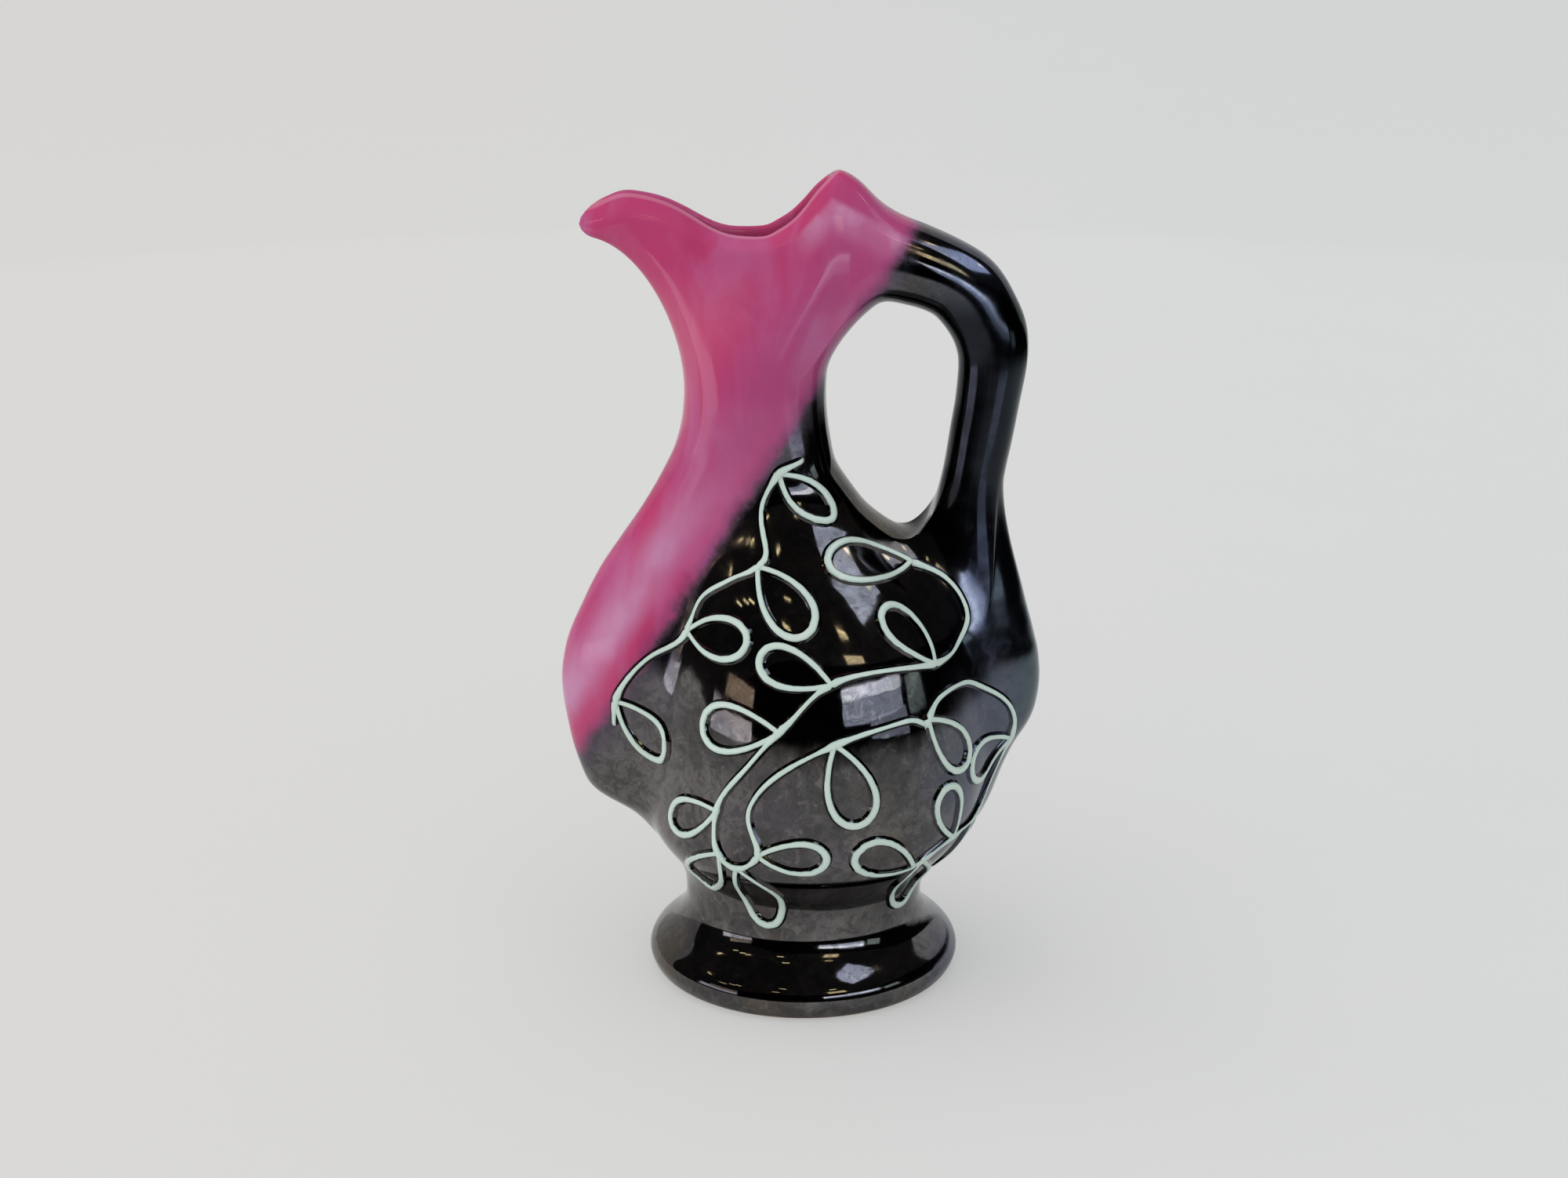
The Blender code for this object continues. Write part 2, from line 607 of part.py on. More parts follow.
def directions(points):
    return [(points[min(i + 1, len(points) - 1)] - points[max(i - 1, 0)]).normalized()
            for i in range(len(points))]


def make_stem(surface, name, points, material):
    bm = bmesh.new()
    runs = directions(points)
    first, last = loft(bm, [surface.section(p, run, BEAD_WIDTH) for p, run in zip(points, runs)])
    for loop in (first, last):
        bmesh.ops.contextual_create(bm, geom=loop)
    return finish(bm, name, material)


def leaf_points(surface, root, run, side, tilt, size):
    """A leaf loop: pointed where it springs from the stem, round at its far end."""
    place, normal = surface.seat(root)
    outward = normal.cross(run).normalized() * side
    along = run * math.cos(tilt) + outward * math.sin(tilt)
    across = normal.cross(along)
    start = place + along * (BEAD_WIDTH + STROKE_GAP) / max(math.sin(tilt), LEAF_LEAN)
    points = []
    for k in range(LEAF_POINTS):
        turn = 2 * math.pi * k / LEAF_POINTS
        reach = 0.5 * size * LEAF_LENGTH * VINE_FIELD * (1 - math.cos(turn))
        spread = 0.5 * size * LEAF_WIDTH * VINE_FIELD * math.sin(turn) * math.sin(turn / 2) ** LEAF_POINT
        points.append(surface.seat(start + along * reach + across * spread)[0])
    return points


def make_leaf(surface, name, points, material):
    bm = bmesh.new()
    count = len(points)
    runs = [points[(i + 1) % count] - points[i - 1] for i in range(count)]
    loft(bm, [surface.section(p, run, BEAD_WIDTH) for p, run in zip(points, runs)], closed_rows=True)
    return finish(bm, name, material)


def make_vines(material):
    surface = Surface()
    for side, side_name in ((1, "left"), (-1, "right")):
        for number, (route, leaves) in enumerate(VINES, 1):
            points = stem_points(surface, route, side)
            runs = directions(points)
            name = f"{side_name}_vine_{number}"
            make_stem(surface, name + "_stem", points, material)
            for count, (share, hand, tilt) in enumerate(leaves, 1):
                i = round(share * (len(points) - 1))
                size = 1 + LEAF_CHANGE * math.sin(LEAF_BEAT * (count + number))
                loop = leaf_points(surface, points[i], runs[i], hand * side, math.radians(tilt), size)
                make_leaf(surface, f"{name}_leaf_{count}", loop, material)
    surface.bm.free()


def main():
    for old in list(bpy.data.objects):
        bpy.data.objects.remove(old)
    pink = glaze("pink_glaze", PINK, 0.12)
    black = glaze("black_lustre_glaze", BLACK, 0.10, 0.3)
    clay = glaze("bare_clay", CLAY, 0.85)
    make_body(pink, black, clay)
    cutter = make_cutter(outer_solid(SEAT_GAP))
    make_handle(black, cutter)
    make_vines(glaze("mint_enamel", MINT, 0.15))


main()
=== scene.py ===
# %% [markdown]
# # A ceramic jug in two glazes, with a trailed vine
# The jug is one thin casting of clay: a round foot, a narrow waist, a round belly between two flat
# lobes, a neck, a beak of a spout and a pinched crest. A handle of solid clay is stuck on between
# the crest and the right lobe. The top is dipped in pink glaze and the rest in a black lustre, and
# a leafy vine is trailed over the black in thick mint enamel.
#
# The imported CAD model comes first. It fixes the size and the place of every piece.

# %% Load the frame
import math

import bmesh
import bpy
import numpy as np
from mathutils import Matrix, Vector
from mathutils.bvhtree import BVHTree
from mathutils.kdtree import KDTree


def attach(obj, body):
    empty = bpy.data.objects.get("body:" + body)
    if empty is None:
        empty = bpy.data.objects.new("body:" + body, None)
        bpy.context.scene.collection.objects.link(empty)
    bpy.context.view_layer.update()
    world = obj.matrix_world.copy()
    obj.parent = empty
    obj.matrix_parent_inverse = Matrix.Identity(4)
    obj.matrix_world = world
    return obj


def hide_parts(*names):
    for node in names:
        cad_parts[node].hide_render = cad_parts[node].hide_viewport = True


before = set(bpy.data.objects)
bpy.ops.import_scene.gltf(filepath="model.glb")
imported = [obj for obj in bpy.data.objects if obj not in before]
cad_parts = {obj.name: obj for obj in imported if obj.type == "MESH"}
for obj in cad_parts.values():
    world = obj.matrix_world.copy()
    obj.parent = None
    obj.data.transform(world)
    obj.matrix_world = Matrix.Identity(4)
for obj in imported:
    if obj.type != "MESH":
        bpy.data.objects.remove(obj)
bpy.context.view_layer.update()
MM = 0.001

# %% [markdown]
# ## Profiles
# A caster draws a jug as a few profiles: how far the clay reaches at each height. Here each profile
# is a short list of (height, reach) stations in millimetres, close to the CAD model's, with a smooth
# curve through them. A spline object could do it too, but a plain function can be asked for any
# height, which the rows of the skin need. With swing the curve may pass beyond its stations, as a
# bent bar does; without it, it never bulges between them.

# %% A smooth curve through stations
def between(low, high, share):
    return low + (high - low) * share


def smooth_curve(points, swing=False):
    places, values = (np.array(row, float) for row in zip(*points))
    steps = np.diff(values) / np.diff(places)
    slopes = np.zeros(len(places))
    same_way = steps[:-1] * steps[1:] > 0
    slopes[1:-1][same_way] = (2 * steps[:-1] * steps[1:] / (steps[:-1] + steps[1:] + 1e-12))[same_way]
    if swing:
        slopes[1:-1] = (values[2:] - values[:-2]) / (places[2:] - places[:-2])
    slopes[0], slopes[-1] = steps[0], steps[-1]

    def value_at(place):
        place = min(max(place, places[0]), places[-1])
        i = min(int(np.searchsorted(places, place, side="right")) - 1, len(steps) - 1)
        width = places[i + 1] - places[i]
        t = (place - places[i]) / width
        ease = t * t * (3 - 2 * t)
        lean = width * t * (1 - t) * ((1 - t) * slopes[i] - t * slopes[i + 1])
        return float(between(values[i], values[i + 1], ease) + lean)

    return value_at


print("half way up a curve from 0 to 10:", smooth_curve([(0, 0), (1, 10)])(0.5))

# %% The profiles of the casting, in millimetres
NECK = 185.0
MOUTH = 229.0
BELLY_REACH = smooth_curve([
    (0, 45), (2.5, 47), (6, 48), (9, 47), (12, 44.1), (14.5, 41), (17.5, 38.4), (23, 36.3), (30, 36.9),
    (34.5, 38.7), (38, 41), (41, 43.8), (44.8, 47), (50, 49.8), (58, 51.5), (75, 52), (90, 50.4),
    (99.75, 48.2), (112, 44.4), (122, 39.3), (130, 34.3), (140, 26.4), (146.5, 22.1), (157, 17),
    (NECK, 11.7), (MOUTH, 11.7)])
LEFT_REACH = smooth_curve([
    (25.8, 14.5), (41, 41), (50.4, 52), (54.7, 60.4), (59.1, 66.2), (64.9, 68.6), (75, 71.5), (94, 74),
    (104, 72.6), (119, 66.6), (129, 61.5), (138.5, 55.2), (147.9, 48.8), (158.5, 42.7), (168, 38.3),
    (178, 36.1), (NECK, 35.7), (MOUTH, 35.7)])
RIGHT_REACH = smooth_curve([
    (19, 14.5), (34, 35), (39.6, 44), (44.7, 49.5), (50, 53.4), (58, 57), (65, 59.8), (70, 62.3),
    (75, 65.2), (80, 68.8), (85, 70.8), (94, 72), (112, 69.4), (125, 61), (134, 45), (140.8, 28.4),
    (146.9, 20.2), (153.7, 14.8), (164.2, 8.8), (NECK, 6.4), (MOUTH, 6.4)])
HALF_DEPTH = smooth_curve([
    (25.84, 9.2), (46, 11.5), (63.8, 18), (80, 21.8), (94, 22.6), (112, 21.2), (130, 18), (150, 16.6),
    (NECK, 18), (MOUTH, 18)])
AXIS = smooth_curve([
    (0, 0), (23, 0), (44.8, 1.8), (75, 6), (111.3, 5.4), (130, 0), (NECK, -14.7), (MOUTH, -14.7)])
SPREAD = smooth_curve([(0, 0.8), (23, 0.6), (43.8, 0.5), (140, 0.5), (NECK, 0.85)])
print("belly reach at 75 mm:", BELLY_REACH(75), "mm")

# %% [markdown]
# ## Levels of the casting
# Every level joins two shapes: a circle for the belly, and a flat oval that reaches from the left
# lobe to the right one. A high power joins them softly, so the belly swells out of the oval with a
# narrow hollow beside it. The inside is the same shape, one wall further in.

# %% The sizes of one level
WALL, INSET_STEPS = 4.5, 13


def inset(profile, height, wall):
    """How far a profile reaches one wall further in, measured square to the wall."""
    offsets = np.linspace(-wall, wall, INSET_STEPS)
    return min(profile(height + d) - math.sqrt(max(wall * wall - d * d, 0.0)) for d in offsets)


def level_sizes(height, wall=0.0):
    profiles = (BELLY_REACH, LEFT_REACH, RIGHT_REACH, HALF_DEPTH)
    sizes = [inset(p, height, wall) if wall else p(height) for p in profiles]
    return [max(size, 1.0) for size in sizes] + [AXIS(height), SPREAD(height)]


print("inside of the belly at 75 mm:", round(level_sizes(75, WALL)[0], 1), "mm")

# %% The points of one level
OVAL_POWER = 2.3
JOIN_POWER = 16.0
COLUMNS = 96


def level_point(turn, height, sizes):
    belly, left, right, depth, axis, spread = sizes
    angle = math.atan2(spread * math.sin(turn), math.cos(turn))
    cosine, sine = math.cos(angle), math.sin(angle)
    reach = max((right - axis) if cosine > 0 else (left + axis), 1.0)
    oval = ((abs(cosine) / reach) ** OVAL_POWER + (abs(sine) / depth) ** OVAL_POWER) ** (-1 / OVAL_POWER)
    radius = (belly**JOIN_POWER + oval**JOIN_POWER) ** (1 / JOIN_POWER)
    return Vector((axis + radius * cosine, radius * sine, height)) * MM


def turns(crowd=0.0):
    """Angles of the columns, crowded towards the crest and the spout's tip where crowd is above 0."""
    even = [2 * math.pi * i / COLUMNS for i in range(COLUMNS)]
    return [turn - crowd * math.sin(2 * turn) for turn in even]


def level(height, wall=0.0):
    sizes = level_sizes(height, wall)
    return [level_point(turn, height, sizes) for turn in turns()]


print("left lobe reaches", round(min(p.x for p in level(94)) / MM, 1), "mm")

# %% [markdown]
# ## Mouth, spout and crest
# The mouth is cut like a saddle: low in the middle, rising to the beak in front and to the pinched
# crest behind. Its edge is a curve seen from the side (a height for each x) and a curve seen from
# above (a half width for each x). The lip is a soft roll from the outer edge to the slot inside.

# %% The mouth's edge
MOUTH_X = -12.0
BLUNT_END = 0.62
TIP_X = smooth_curve([(0, -63.8), (0.25, -66.8), (0.5, -64.2), (0.75, -60.5), (1, -56.5)])
BACK_X = smooth_curve([(0, 12.5), (0.25, 12.0), (0.5, 10.5), (0.75, 8.3), (1, 5.5)])
EDGE_HEIGHT = smooth_curve([
    (-66.6, 230.6), (-64.4, 230.6), (-58, 234.8), (-52, 237.8), (-44, 237.2), (-37.5, 235.3),
    (-30.9, 232.0), (-22.6, 228.7), (-12, 228.8), (-6, 230.4), (-0.3, 234.4), (3.5, 238.4), (8.5, 243.4),
    (12.5, 248.6)])
ROLL_HEIGHT = smooth_curve([
    (-66.6, 9.5), (-64, 9.3), (-58, 7.6), (-52, 6.6), (-44, 5.7), (-37.5, 5.1), (-30.9, 4.5),
    (-22.6, 3.6), (-12, 3.2), (-8, 4.4), (-1.9, 5.6), (3.9, 7.0), (8.3, 6.6), (12.5, 3.0)])
ROLL_SHAPE = smooth_curve([(0, 0), (0.25, 0.36), (0.5, 0.78), (0.75, 1.0), (1, 0.84)])
EDGE_HALF_WIDTH = smooth_curve([(-66.6, 8.5), (-52, 8.5), (MOUTH_X, 12.2), (12.5, 12.2)])
SLOT_HALF_WIDTH = smooth_curve([
    (-66.6, 0.8), (-52, 1.0), (-35, 1.8), (-24, 4.2), (MOUTH_X, 6.4), (-2, 6.4), (4, 4.4), (8, 2.0),
    (12.5, 0.8)])


def edge_point(turn, lip=0.0):
    """A point of the mouth's edge: lip runs from 0, outside, over the roll to 1, at the slot."""
    cosine, sine = math.cos(turn), math.sin(turn)
    end = BACK_X(lip) - MOUTH_X if cosine > 0 else MOUTH_X - TIP_X(lip)
    x = MOUTH_X + cosine * end
    width = between(EDGE_HALF_WIDTH(x), SLOT_HALF_WIDTH(x), lip)
    y = math.copysign(width * abs(sine) ** BLUNT_END, sine)
    return Vector((x, y, EDGE_HEIGHT(x) + ROLL_HEIGHT(x) * ROLL_SHAPE(lip))) * MM


print("spout tip:", tuple(round(c / MM, 1) for c in edge_point(math.pi)), "mm")

# %% [markdown]
# Between the neck and the mouth's edge the clay runs on a smooth way that leaves the neck upright and
# arrives as the edge wants it: swept forward and flat at the spout, and leaning back with a broad
# shoulder at the crest. A way is fixed by its two ends and by how it leaves and arrives.

# %% The throat, from the neck up to the mouth's edge
SPOUT_SWEEP, SPOUT_FLATTEN, CREST_LEAN, SHOULDER = 1.7, 0.87, 50.0, 34.0
NECK_PULL, SPOUT_EASE = 1.5, 0.29
EDGE_CROWD = 0.3


def smooth_way(start, leave, end, arrive, t):
    return (start * (2 * t**3 - 3 * t**2 + 1) + leave * (t**3 - 2 * t**2 + t)
            + end * (3 * t**2 - 2 * t**3) + arrive * (t**3 - t**2))


def throat(share, lip=0.0):
    sizes = level_sizes(NECK, WALL * lip)
    ring = []
    for turn in turns(EDGE_CROWD * share):
        start, end = level_point(turn, NECK, sizes), edge_point(turn, lip)
        rise = end.z - start.z
        front, back = max(-math.cos(turn), 0.0) ** 2, max(math.cos(turn), 0.0) ** 2
        leave = Vector((0, 0, (NECK_PULL - SPOUT_EASE * front) * rise))
        sweep = SPOUT_SWEEP * front * (end.x - start.x) - back * CREST_LEAN * MM
        shoulder = -SHOULDER * MM * math.sin(turn) * back
        arrive = Vector((sweep, shoulder, (1 - SPOUT_FLATTEN * front) * rise))
        ring.append(smooth_way(start, leave, end, arrive, share))
    return ring


def lip_ring(lip):
    return [edge_point(turn, lip) for turn in turns(EDGE_CROWD)]


print("points in a ring of the throat:", len(throat(0.5)))

# %% [markdown]
# ## Rows of the skin
# The skin is made like a coil pot, ring over ring: out from under the sole, up the outside, over the
# lip and down the inside to the floor. The rows lie closer where the shape turns faster, and where
# the handle will be let in.

# %% List the rows
def rows_between(low, high, count):
    return [between(low, high, (i + 1) / count) for i in range(count)]


SOLE = [(17, 2.0), (33, 2.0), (34.2, 1.9), (35.8, 0.2), (36.4, 0.0), (44.0, 0.0)]  # radius, height
rings = [[Vector((r * math.cos(turn), r * math.sin(turn), z)) * MM for turn in turns()] for r, z in SOLE]

WAIST = 23.0
SHELF_LOW, SHELF_HIGH = 112.0, 140.0
heights = [0.3]
for top, count in ((6, 4), (WAIST, 9), (46, 9), (75, 10), (94, 6), (SHELF_LOW, 7), (SHELF_HIGH, 28),
                   (NECK, 17)):
    heights += rows_between(heights[-1], top, count)
shelf_rows = [len(SOLE) + heights.index(z) for z in (SHELF_LOW, SHELF_HIGH)]
rings += [level(height) for height in heights]

THROAT_ROWS, INNER_THROAT_ROWS = 18, 16
crest_rows = [len(rings), len(rings) + THROAT_ROWS]
rings += [throat(share) for share in rows_between(0, 1, THROAT_ROWS)]
rings += [lip_ring(lip) for lip in (0.25, 0.5, 0.75, 1.0)]
inside_row = len(rings) - 2

rings += [throat(share, 1.0) for share in rows_between(1, 0, INNER_THROAT_ROWS)]
SOLE_TOP, FLOOR_TOP = 2.0, 6.0
for low, high, count in ((NECK, 140, 12), (140, 120, 8), (120, 75, 12), (75, WAIST, 12),
                         (WAIST, FLOOR_TOP, 5)):
    rings += [level(height, WALL) for height in rows_between(low, high, count)]
print("rows:", len(rings), "shelf rows:", shelf_rows, "crest rows:", crest_rows)

# %% Raise the skin ring by ring
def grow(bm, row, points):
    """Extrudes a closed row of vertices and moves the new row to the points given."""
    edges = [bm.edges.get(pair) for pair in zip(row, row[1:] + row[:1])]
    grown = bmesh.ops.extrude_edge_only(bm, edges=edges)["geom"]
    fresh = {item for item in grown if isinstance(item, bmesh.types.BMVert)}
    new_row = [next(e.other_vert(v) for e in v.link_edges if e.other_vert(v) in fresh) for v in row]
    for vert, point in zip(new_row, points):
        vert.co = point
    return new_row


def close_to_point(bm, row, point):
    tip = grow(bm, row, [point] * len(row))
    bmesh.ops.pointmerge(bm, verts=tip, merge_co=point)


skin_bm = bmesh.new()
inside = skin_bm.verts.layers.float.new("inside")
first = bmesh.ops.create_circle(skin_bm, segments=COLUMNS, radius=1.0)["verts"]
for vert, point in zip(first, rings[0]):
    vert.co = point
grid = [list(first)]
for ring in rings[1:]:
    grid.append(grow(skin_bm, grid[-1], ring))
for row in grid[inside_row:]:
    for vert in row:
        vert[inside] = 1.0
close_to_point(skin_bm, grid[0], Vector((0, 0, SOLE_TOP * MM)))
close_to_point(skin_bm, grid[-1], Vector((0, 0, FLOOR_TOP * MM)))
print("skin faces before the handle:", len(skin_bm.faces))

# %% [markdown]
# ## The handle grows out of the skin
# The potter sticks the handle on with slip and wipes the joints smooth, and the glaze covers what is
# left of them, so no seam shows. A separate bar pushed into the body would leave a hard line. Here
# two windows are opened in the skin, one under the crest and one on the right lobe's shelf, and the
# handle is extruded out of the upper one, bent along its path and welded into the lower one. Both
# windows have the same number of corners as the handle has sides.

# %% The handle's path and sections, in millimetres
HANDLE_SIDES = 92
HANDLE_PATH = [  # x, z, half thickness, half depth, ridge on top, squareness of the upper half
    (4.5, 224.5, 19.8, 11.3, 3.0, 2.7), (11.2, 224.5, 19.8, 11.3, 2.5, 2.7),
    (15.56, 224.5, 18.9, 11.3, 1.8, 2.7), (24.3, 223.8, 13.2, 11.2, 0.6, 2.8),
    (33.5, 221.5, 12.0, 11.0, 0, 2.6), (42.2, 217.9, 11.5, 10.6, 0, 2.4),
    (47.5, 214.1, 11.7, 10.3, 0, 2.2), (52.4, 206.9, 11.2, 10.0, 0, 2.0),
    (54.9, 201.0, 11.0, 9.9, 0, 2.0), (55.7, 193.5, 10.3, 9.8, 0, 2.0), (54.4, 181.5, 9.6, 9.6, 0, 2.0),
    (52.9, 172.0, 9.5, 9.5, 0, 2.0), (50.2, 156.0, 9.35, 9.7, 0, 2.0), (48.6, 146.0, 11.0, 10.8, 0, 2.0),
    (47.1, 135.0, 15.0, 12.7, 0, 2.0)]
hops = [math.dist(a[:2], b[:2]) for a, b in zip(HANDLE_PATH, HANDLE_PATH[1:])]
places = [sum(hops[:i]) for i in range(len(HANDLE_PATH))]
HANDLE_CURVES = [smooth_curve(list(zip(places, column)), swing=True) for column in zip(*HANDLE_PATH)]


def handle_ring(place):
    x, z, thick, depth, ridge, square = (curve(place) for curve in HANDLE_CURVES)
    run_x, run_z = (curve(place + 1) - curve(place - 1) for curve in HANDLE_CURVES[:2])
    across = Vector((-run_z, 0, run_x)).normalized()
    ring = []
    for k in range(HANDLE_SIDES):
        turn = 2 * math.pi * k / HANDLE_SIDES
        cosine, sine = math.cos(turn), math.sin(turn)
        power = 2 / square if cosine > 0 else 1.0
        lift = thick * math.copysign(abs(cosine) ** power, cosine)
        lift += max(ridge, 0.0) * max(cosine, 0.0) ** 4
        side = depth * math.copysign(abs(sine) ** power, sine)
        ring.append((Vector((x, 0, z)) + across * lift + Vector((0, side, 0))) * MM)
    return ring


print("handle path:", round(places[-1], 1), "mm")

# %% Open the two windows
CREST_HALF, SHELF_HALF = 14, 9
RIDGE_FALL, EAVES_FALL = math.radians(24), math.radians(22)


def window(low, high, half, from_top):
    """Border of a window, from the middle of its first row round by the far side, and the way in."""
    one, two = (high, low) if from_top else (low, high)
    onward = 1 if two > one else -1
    cells = [(one, c) for c in range(half)] + [(r, half) for r in range(one, two, onward)]
    cells += [(two, c) for c in range(half, -half, -1)] + [(r, -half) for r in range(two, one, -onward)]
    cells += [(one, c) for c in range(-half, 0)]
    border, way_in = [], []
    for r, c in cells:
        r_out = r + (r == high) - (r == low)
        c_out = c + (c == half) - (c == -half)
        border.append(grid[r][c])
        way_in.append((grid[r][c].co - grid[r_out][c_out].co).normalized())
    members = {grid[r][c] for r in range(low, high + 1) for c in range(-half, half + 1)}
    faces = [face for face in skin_bm.faces if all(vert in members for vert in face.verts)]
    bmesh.ops.delete(skin_bm, geom=faces, context="FACES")
    return border, way_in


crest_border, crest_way = window(crest_rows[0], crest_rows[1], CREST_HALF, from_top=True)
shelf_border, shelf_way = window(shelf_rows[0], shelf_rows[1], SHELF_HALF, from_top=False)
for k in range(-CREST_HALF, CREST_HALF + 1):
    fall = between(RIDGE_FALL, EAVES_FALL, abs(k) / CREST_HALF)
    crest_way[k] = Vector((math.cos(fall), 0, -math.sin(fall)))
print("corners of the windows:", len(crest_border), len(shelf_border))

# %% [markdown]
# The handle's own rows run along the middle of its path. At each end some rows blend the handle's
# section into the border of its window, on the same smooth ways as in the throat.

# %% The rows of the handle
HANDLE_START, HANDLE_END = 18.5, 104.0
BLEND_ROWS, BAR_ROWS = 10, 40
CREST_LEAVE, CREST_ARRIVE = 18, 20
SHELF_LEAVE, SHELF_ARRIVE = 32, 22


def blend_rows(start, leave, end, arrive):
    """Rows on smooth curves from one ring of points to another, ends left out."""
    ways = list(zip(start, leave, end, arrive))
    return [[smooth_way(*way, i / BLEND_ROWS) for way in ways] for i in range(1, BLEND_ROWS)]


def run_at(place, length):
    """How each side of the handle runs on at a place, as vectors of one length."""
    ahead, behind = handle_ring(place + 0.5), handle_ring(place - 0.5)
    return [(a - b).normalized() * length * MM for a, b in zip(ahead, behind)]


top_ring, foot_ring = handle_ring(HANDLE_START), handle_ring(HANDLE_END)
crest_blend = blend_rows([v.co for v in crest_border], [way * CREST_LEAVE * MM for way in crest_way],
                         top_ring, run_at(HANDLE_START, CREST_ARRIVE))
shelf_blend = blend_rows(foot_ring, run_at(HANDLE_END, SHELF_LEAVE),
                         [v.co for v in shelf_border], [-way * SHELF_ARRIVE * MM for way in shelf_way])
bar = [handle_ring(place) for place in rows_between(HANDLE_START, HANDLE_END, BAR_ROWS)]
print("rows of the handle:", len(crest_blend) + 1 + len(bar) + len(shelf_blend))

# %% Grow the handle, weld it in and wipe the joints smooth
JOINT_WIPES, FOOT_WIPES, FOOT_WIPE_REACH = 4, 6, 2
RIDGE_KEPT = 5


def wipe(verts, times):
    for _ in range(times):
        bmesh.ops.smooth_vert(
            skin_bm, verts=list(verts), factor=0.5, use_axis_x=True, use_axis_y=True, use_axis_z=True)


row, soft = crest_border, set()
for ring in crest_blend:
    row = grow(skin_bm, row, ring)
    soft.update(row[RIDGE_KEPT:1 - RIDGE_KEPT])  # the ridge stays as it is
for ring in [top_ring] + bar:
    row = grow(skin_bm, row, ring)
for ring in shelf_blend:
    row = grow(skin_bm, row, ring)
    soft.update(row)
bmesh.ops.bridge_loops(skin_bm, edges=[
    skin_bm.edges.get(pair) for loop in (row, shelf_border) for pair in zip(loop, loop[1:] + loop[:1])])
wipe(soft, JOINT_WIPES)
foot_joint = set(shelf_border)
for _ in range(FOOT_WIPE_REACH):
    foot_joint.update([edge.other_vert(vert) for vert in foot_joint for edge in vert.link_edges])
wipe(foot_joint, FOOT_WIPES)
print("skin faces with the handle:", len(skin_bm.faces))

# %% Make the skin an object
def make_piece(bm, name):
    bmesh.ops.recalc_face_normals(bm, faces=bm.faces)
    mesh = bpy.data.meshes.new(name)
    bm.to_mesh(mesh)
    bm.free()
    mesh.shade_smooth()
    piece = bpy.data.objects.new(name, mesh)
    bpy.context.scene.collection.objects.link(piece)
    return piece


open_edges = sum(1 for edge in skin_bm.edges if not edge.is_manifold)
skin = make_piece(skin_bm, "jug_skin")
rounding = skin.modifiers.new("rounding", "SUBSURF")
rounding.levels = rounding.render_levels = 1
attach(skin, "root")
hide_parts("body", "handle")
print("skin vertices:", len(skin.data.vertices), "open edges:", open_edges)

# %% [markdown]
# ## The trailed vine
# The vine is drawn with a rubber bulb of thick enamel before the last firing. Each line is a low
# round bead that stands about a millimetre proud; the black glaze creeps up its flanks and leaves
# the crown mint. A curve with a round bevel would cut into the body where it bends, so each
# bead is a grid whose cross-section is laid on the skin point by point. The stems follow the CAD
# model's routes, as (turn, height) points on the casting.

# %% Find the skin under a point
finished = skin.evaluated_get(bpy.context.evaluated_depsgraph_get()).to_mesh()
skin_points = [vert.co.copy() for vert in finished.vertices]
skin_normals = [vert.normal.copy() for vert in finished.vertices]
is_inside = [item.value > 0.5 for item in finished.attributes["inside"].data]
skin_faces = [list(face.vertices) for face in finished.polygons if not is_inside[face.vertices[0]]]
skin_tree = BVHTree.FromPolygons(skin_points, skin_faces)


def seat(point):
    """The nearest point of the skin, and its smooth normal there."""
    place, _, index, _ = skin_tree.find_nearest(point)
    normal = Vector()
    for i in skin_faces[index]:
        normal += skin_normals[i] / ((skin_points[i] - place).length + 1e-5)
    return place, normal.normalized()


print("skin faces under the vine:", len(skin_faces))

# %% The plan of the vine
# Each stem's route, and its leaves as (share of the stem, side, tilt from the stem in degrees)
VINES = [
    ([(0.66, 0.89), (0.54, 0.87), (0.46, 0.81), (0.45, 0.72), (0.37, 0.68), (0.29, 0.63), (0.25, 0.56),
      (0.19, 0.52), (0.16, 0.45), (0.14, 0.37)],
     [(0.08, 1, 90), (0.34, 1, 92), (0.63, 1, 112), (0.92, 1, 60)]),
    ([(0.785, 0.69), (0.82, 0.655), (0.80, 0.59), (0.74, 0.55), (0.66, 0.53), (0.52, 0.53), (0.46, 0.45),
      (0.42, 0.36), (0.39, 0.28), (0.395, 0.20), (0.42, 0.165), (0.445, 0.20), (0.43, 0.28), (0.46, 0.36),
      (0.52, 0.43), (0.585, 0.45), (0.615, 0.432)],
     [(0.0, -1, 150), (0.195, -1, 62), (0.335, -1, 48), (0.42, -1, 45), (0.555, -1, 54), (0.61, -1, 65),
      (0.64, -1, 80), (0.68, -1, 72), (0.875, -1, 95)]),
    ([(0.61, 0.43), (0.65, 0.47), (0.74, 0.48), (0.82, 0.44), (0.87, 0.37), (0.88, 0.28), (0.80, 0.21),
      (0.70, 0.19), (0.62, 0.15)],
     [(0.02, -1, 100), (0.50, -1, 66), (0.73, 1, 75), (0.86, -1, 80), (0.97, 1, 75), (1.0, -1, 55)])]
print("stems on each side:", len(VINES), "leaves:", sum(len(leaves) for _, leaves in VINES))

# %% Stems as lines on the skin
STEM_WAVE, STEM_WAVES = 0.8, 3
ROUTE_STEPS = 12
LINE_STEP = 0.8


def evenly(points, spacing):
    marks_at = np.cumsum([0.0] + [(b - a).length for a, b in zip(points, points[1:])])
    marks = np.linspace(0.0, marks_at[-1], round(marks_at[-1] / (spacing * MM)) + 1)
    columns = list(zip(*points))
    return [Vector([float(np.interp(mark, marks_at, column)) for column in columns]) for mark in marks]


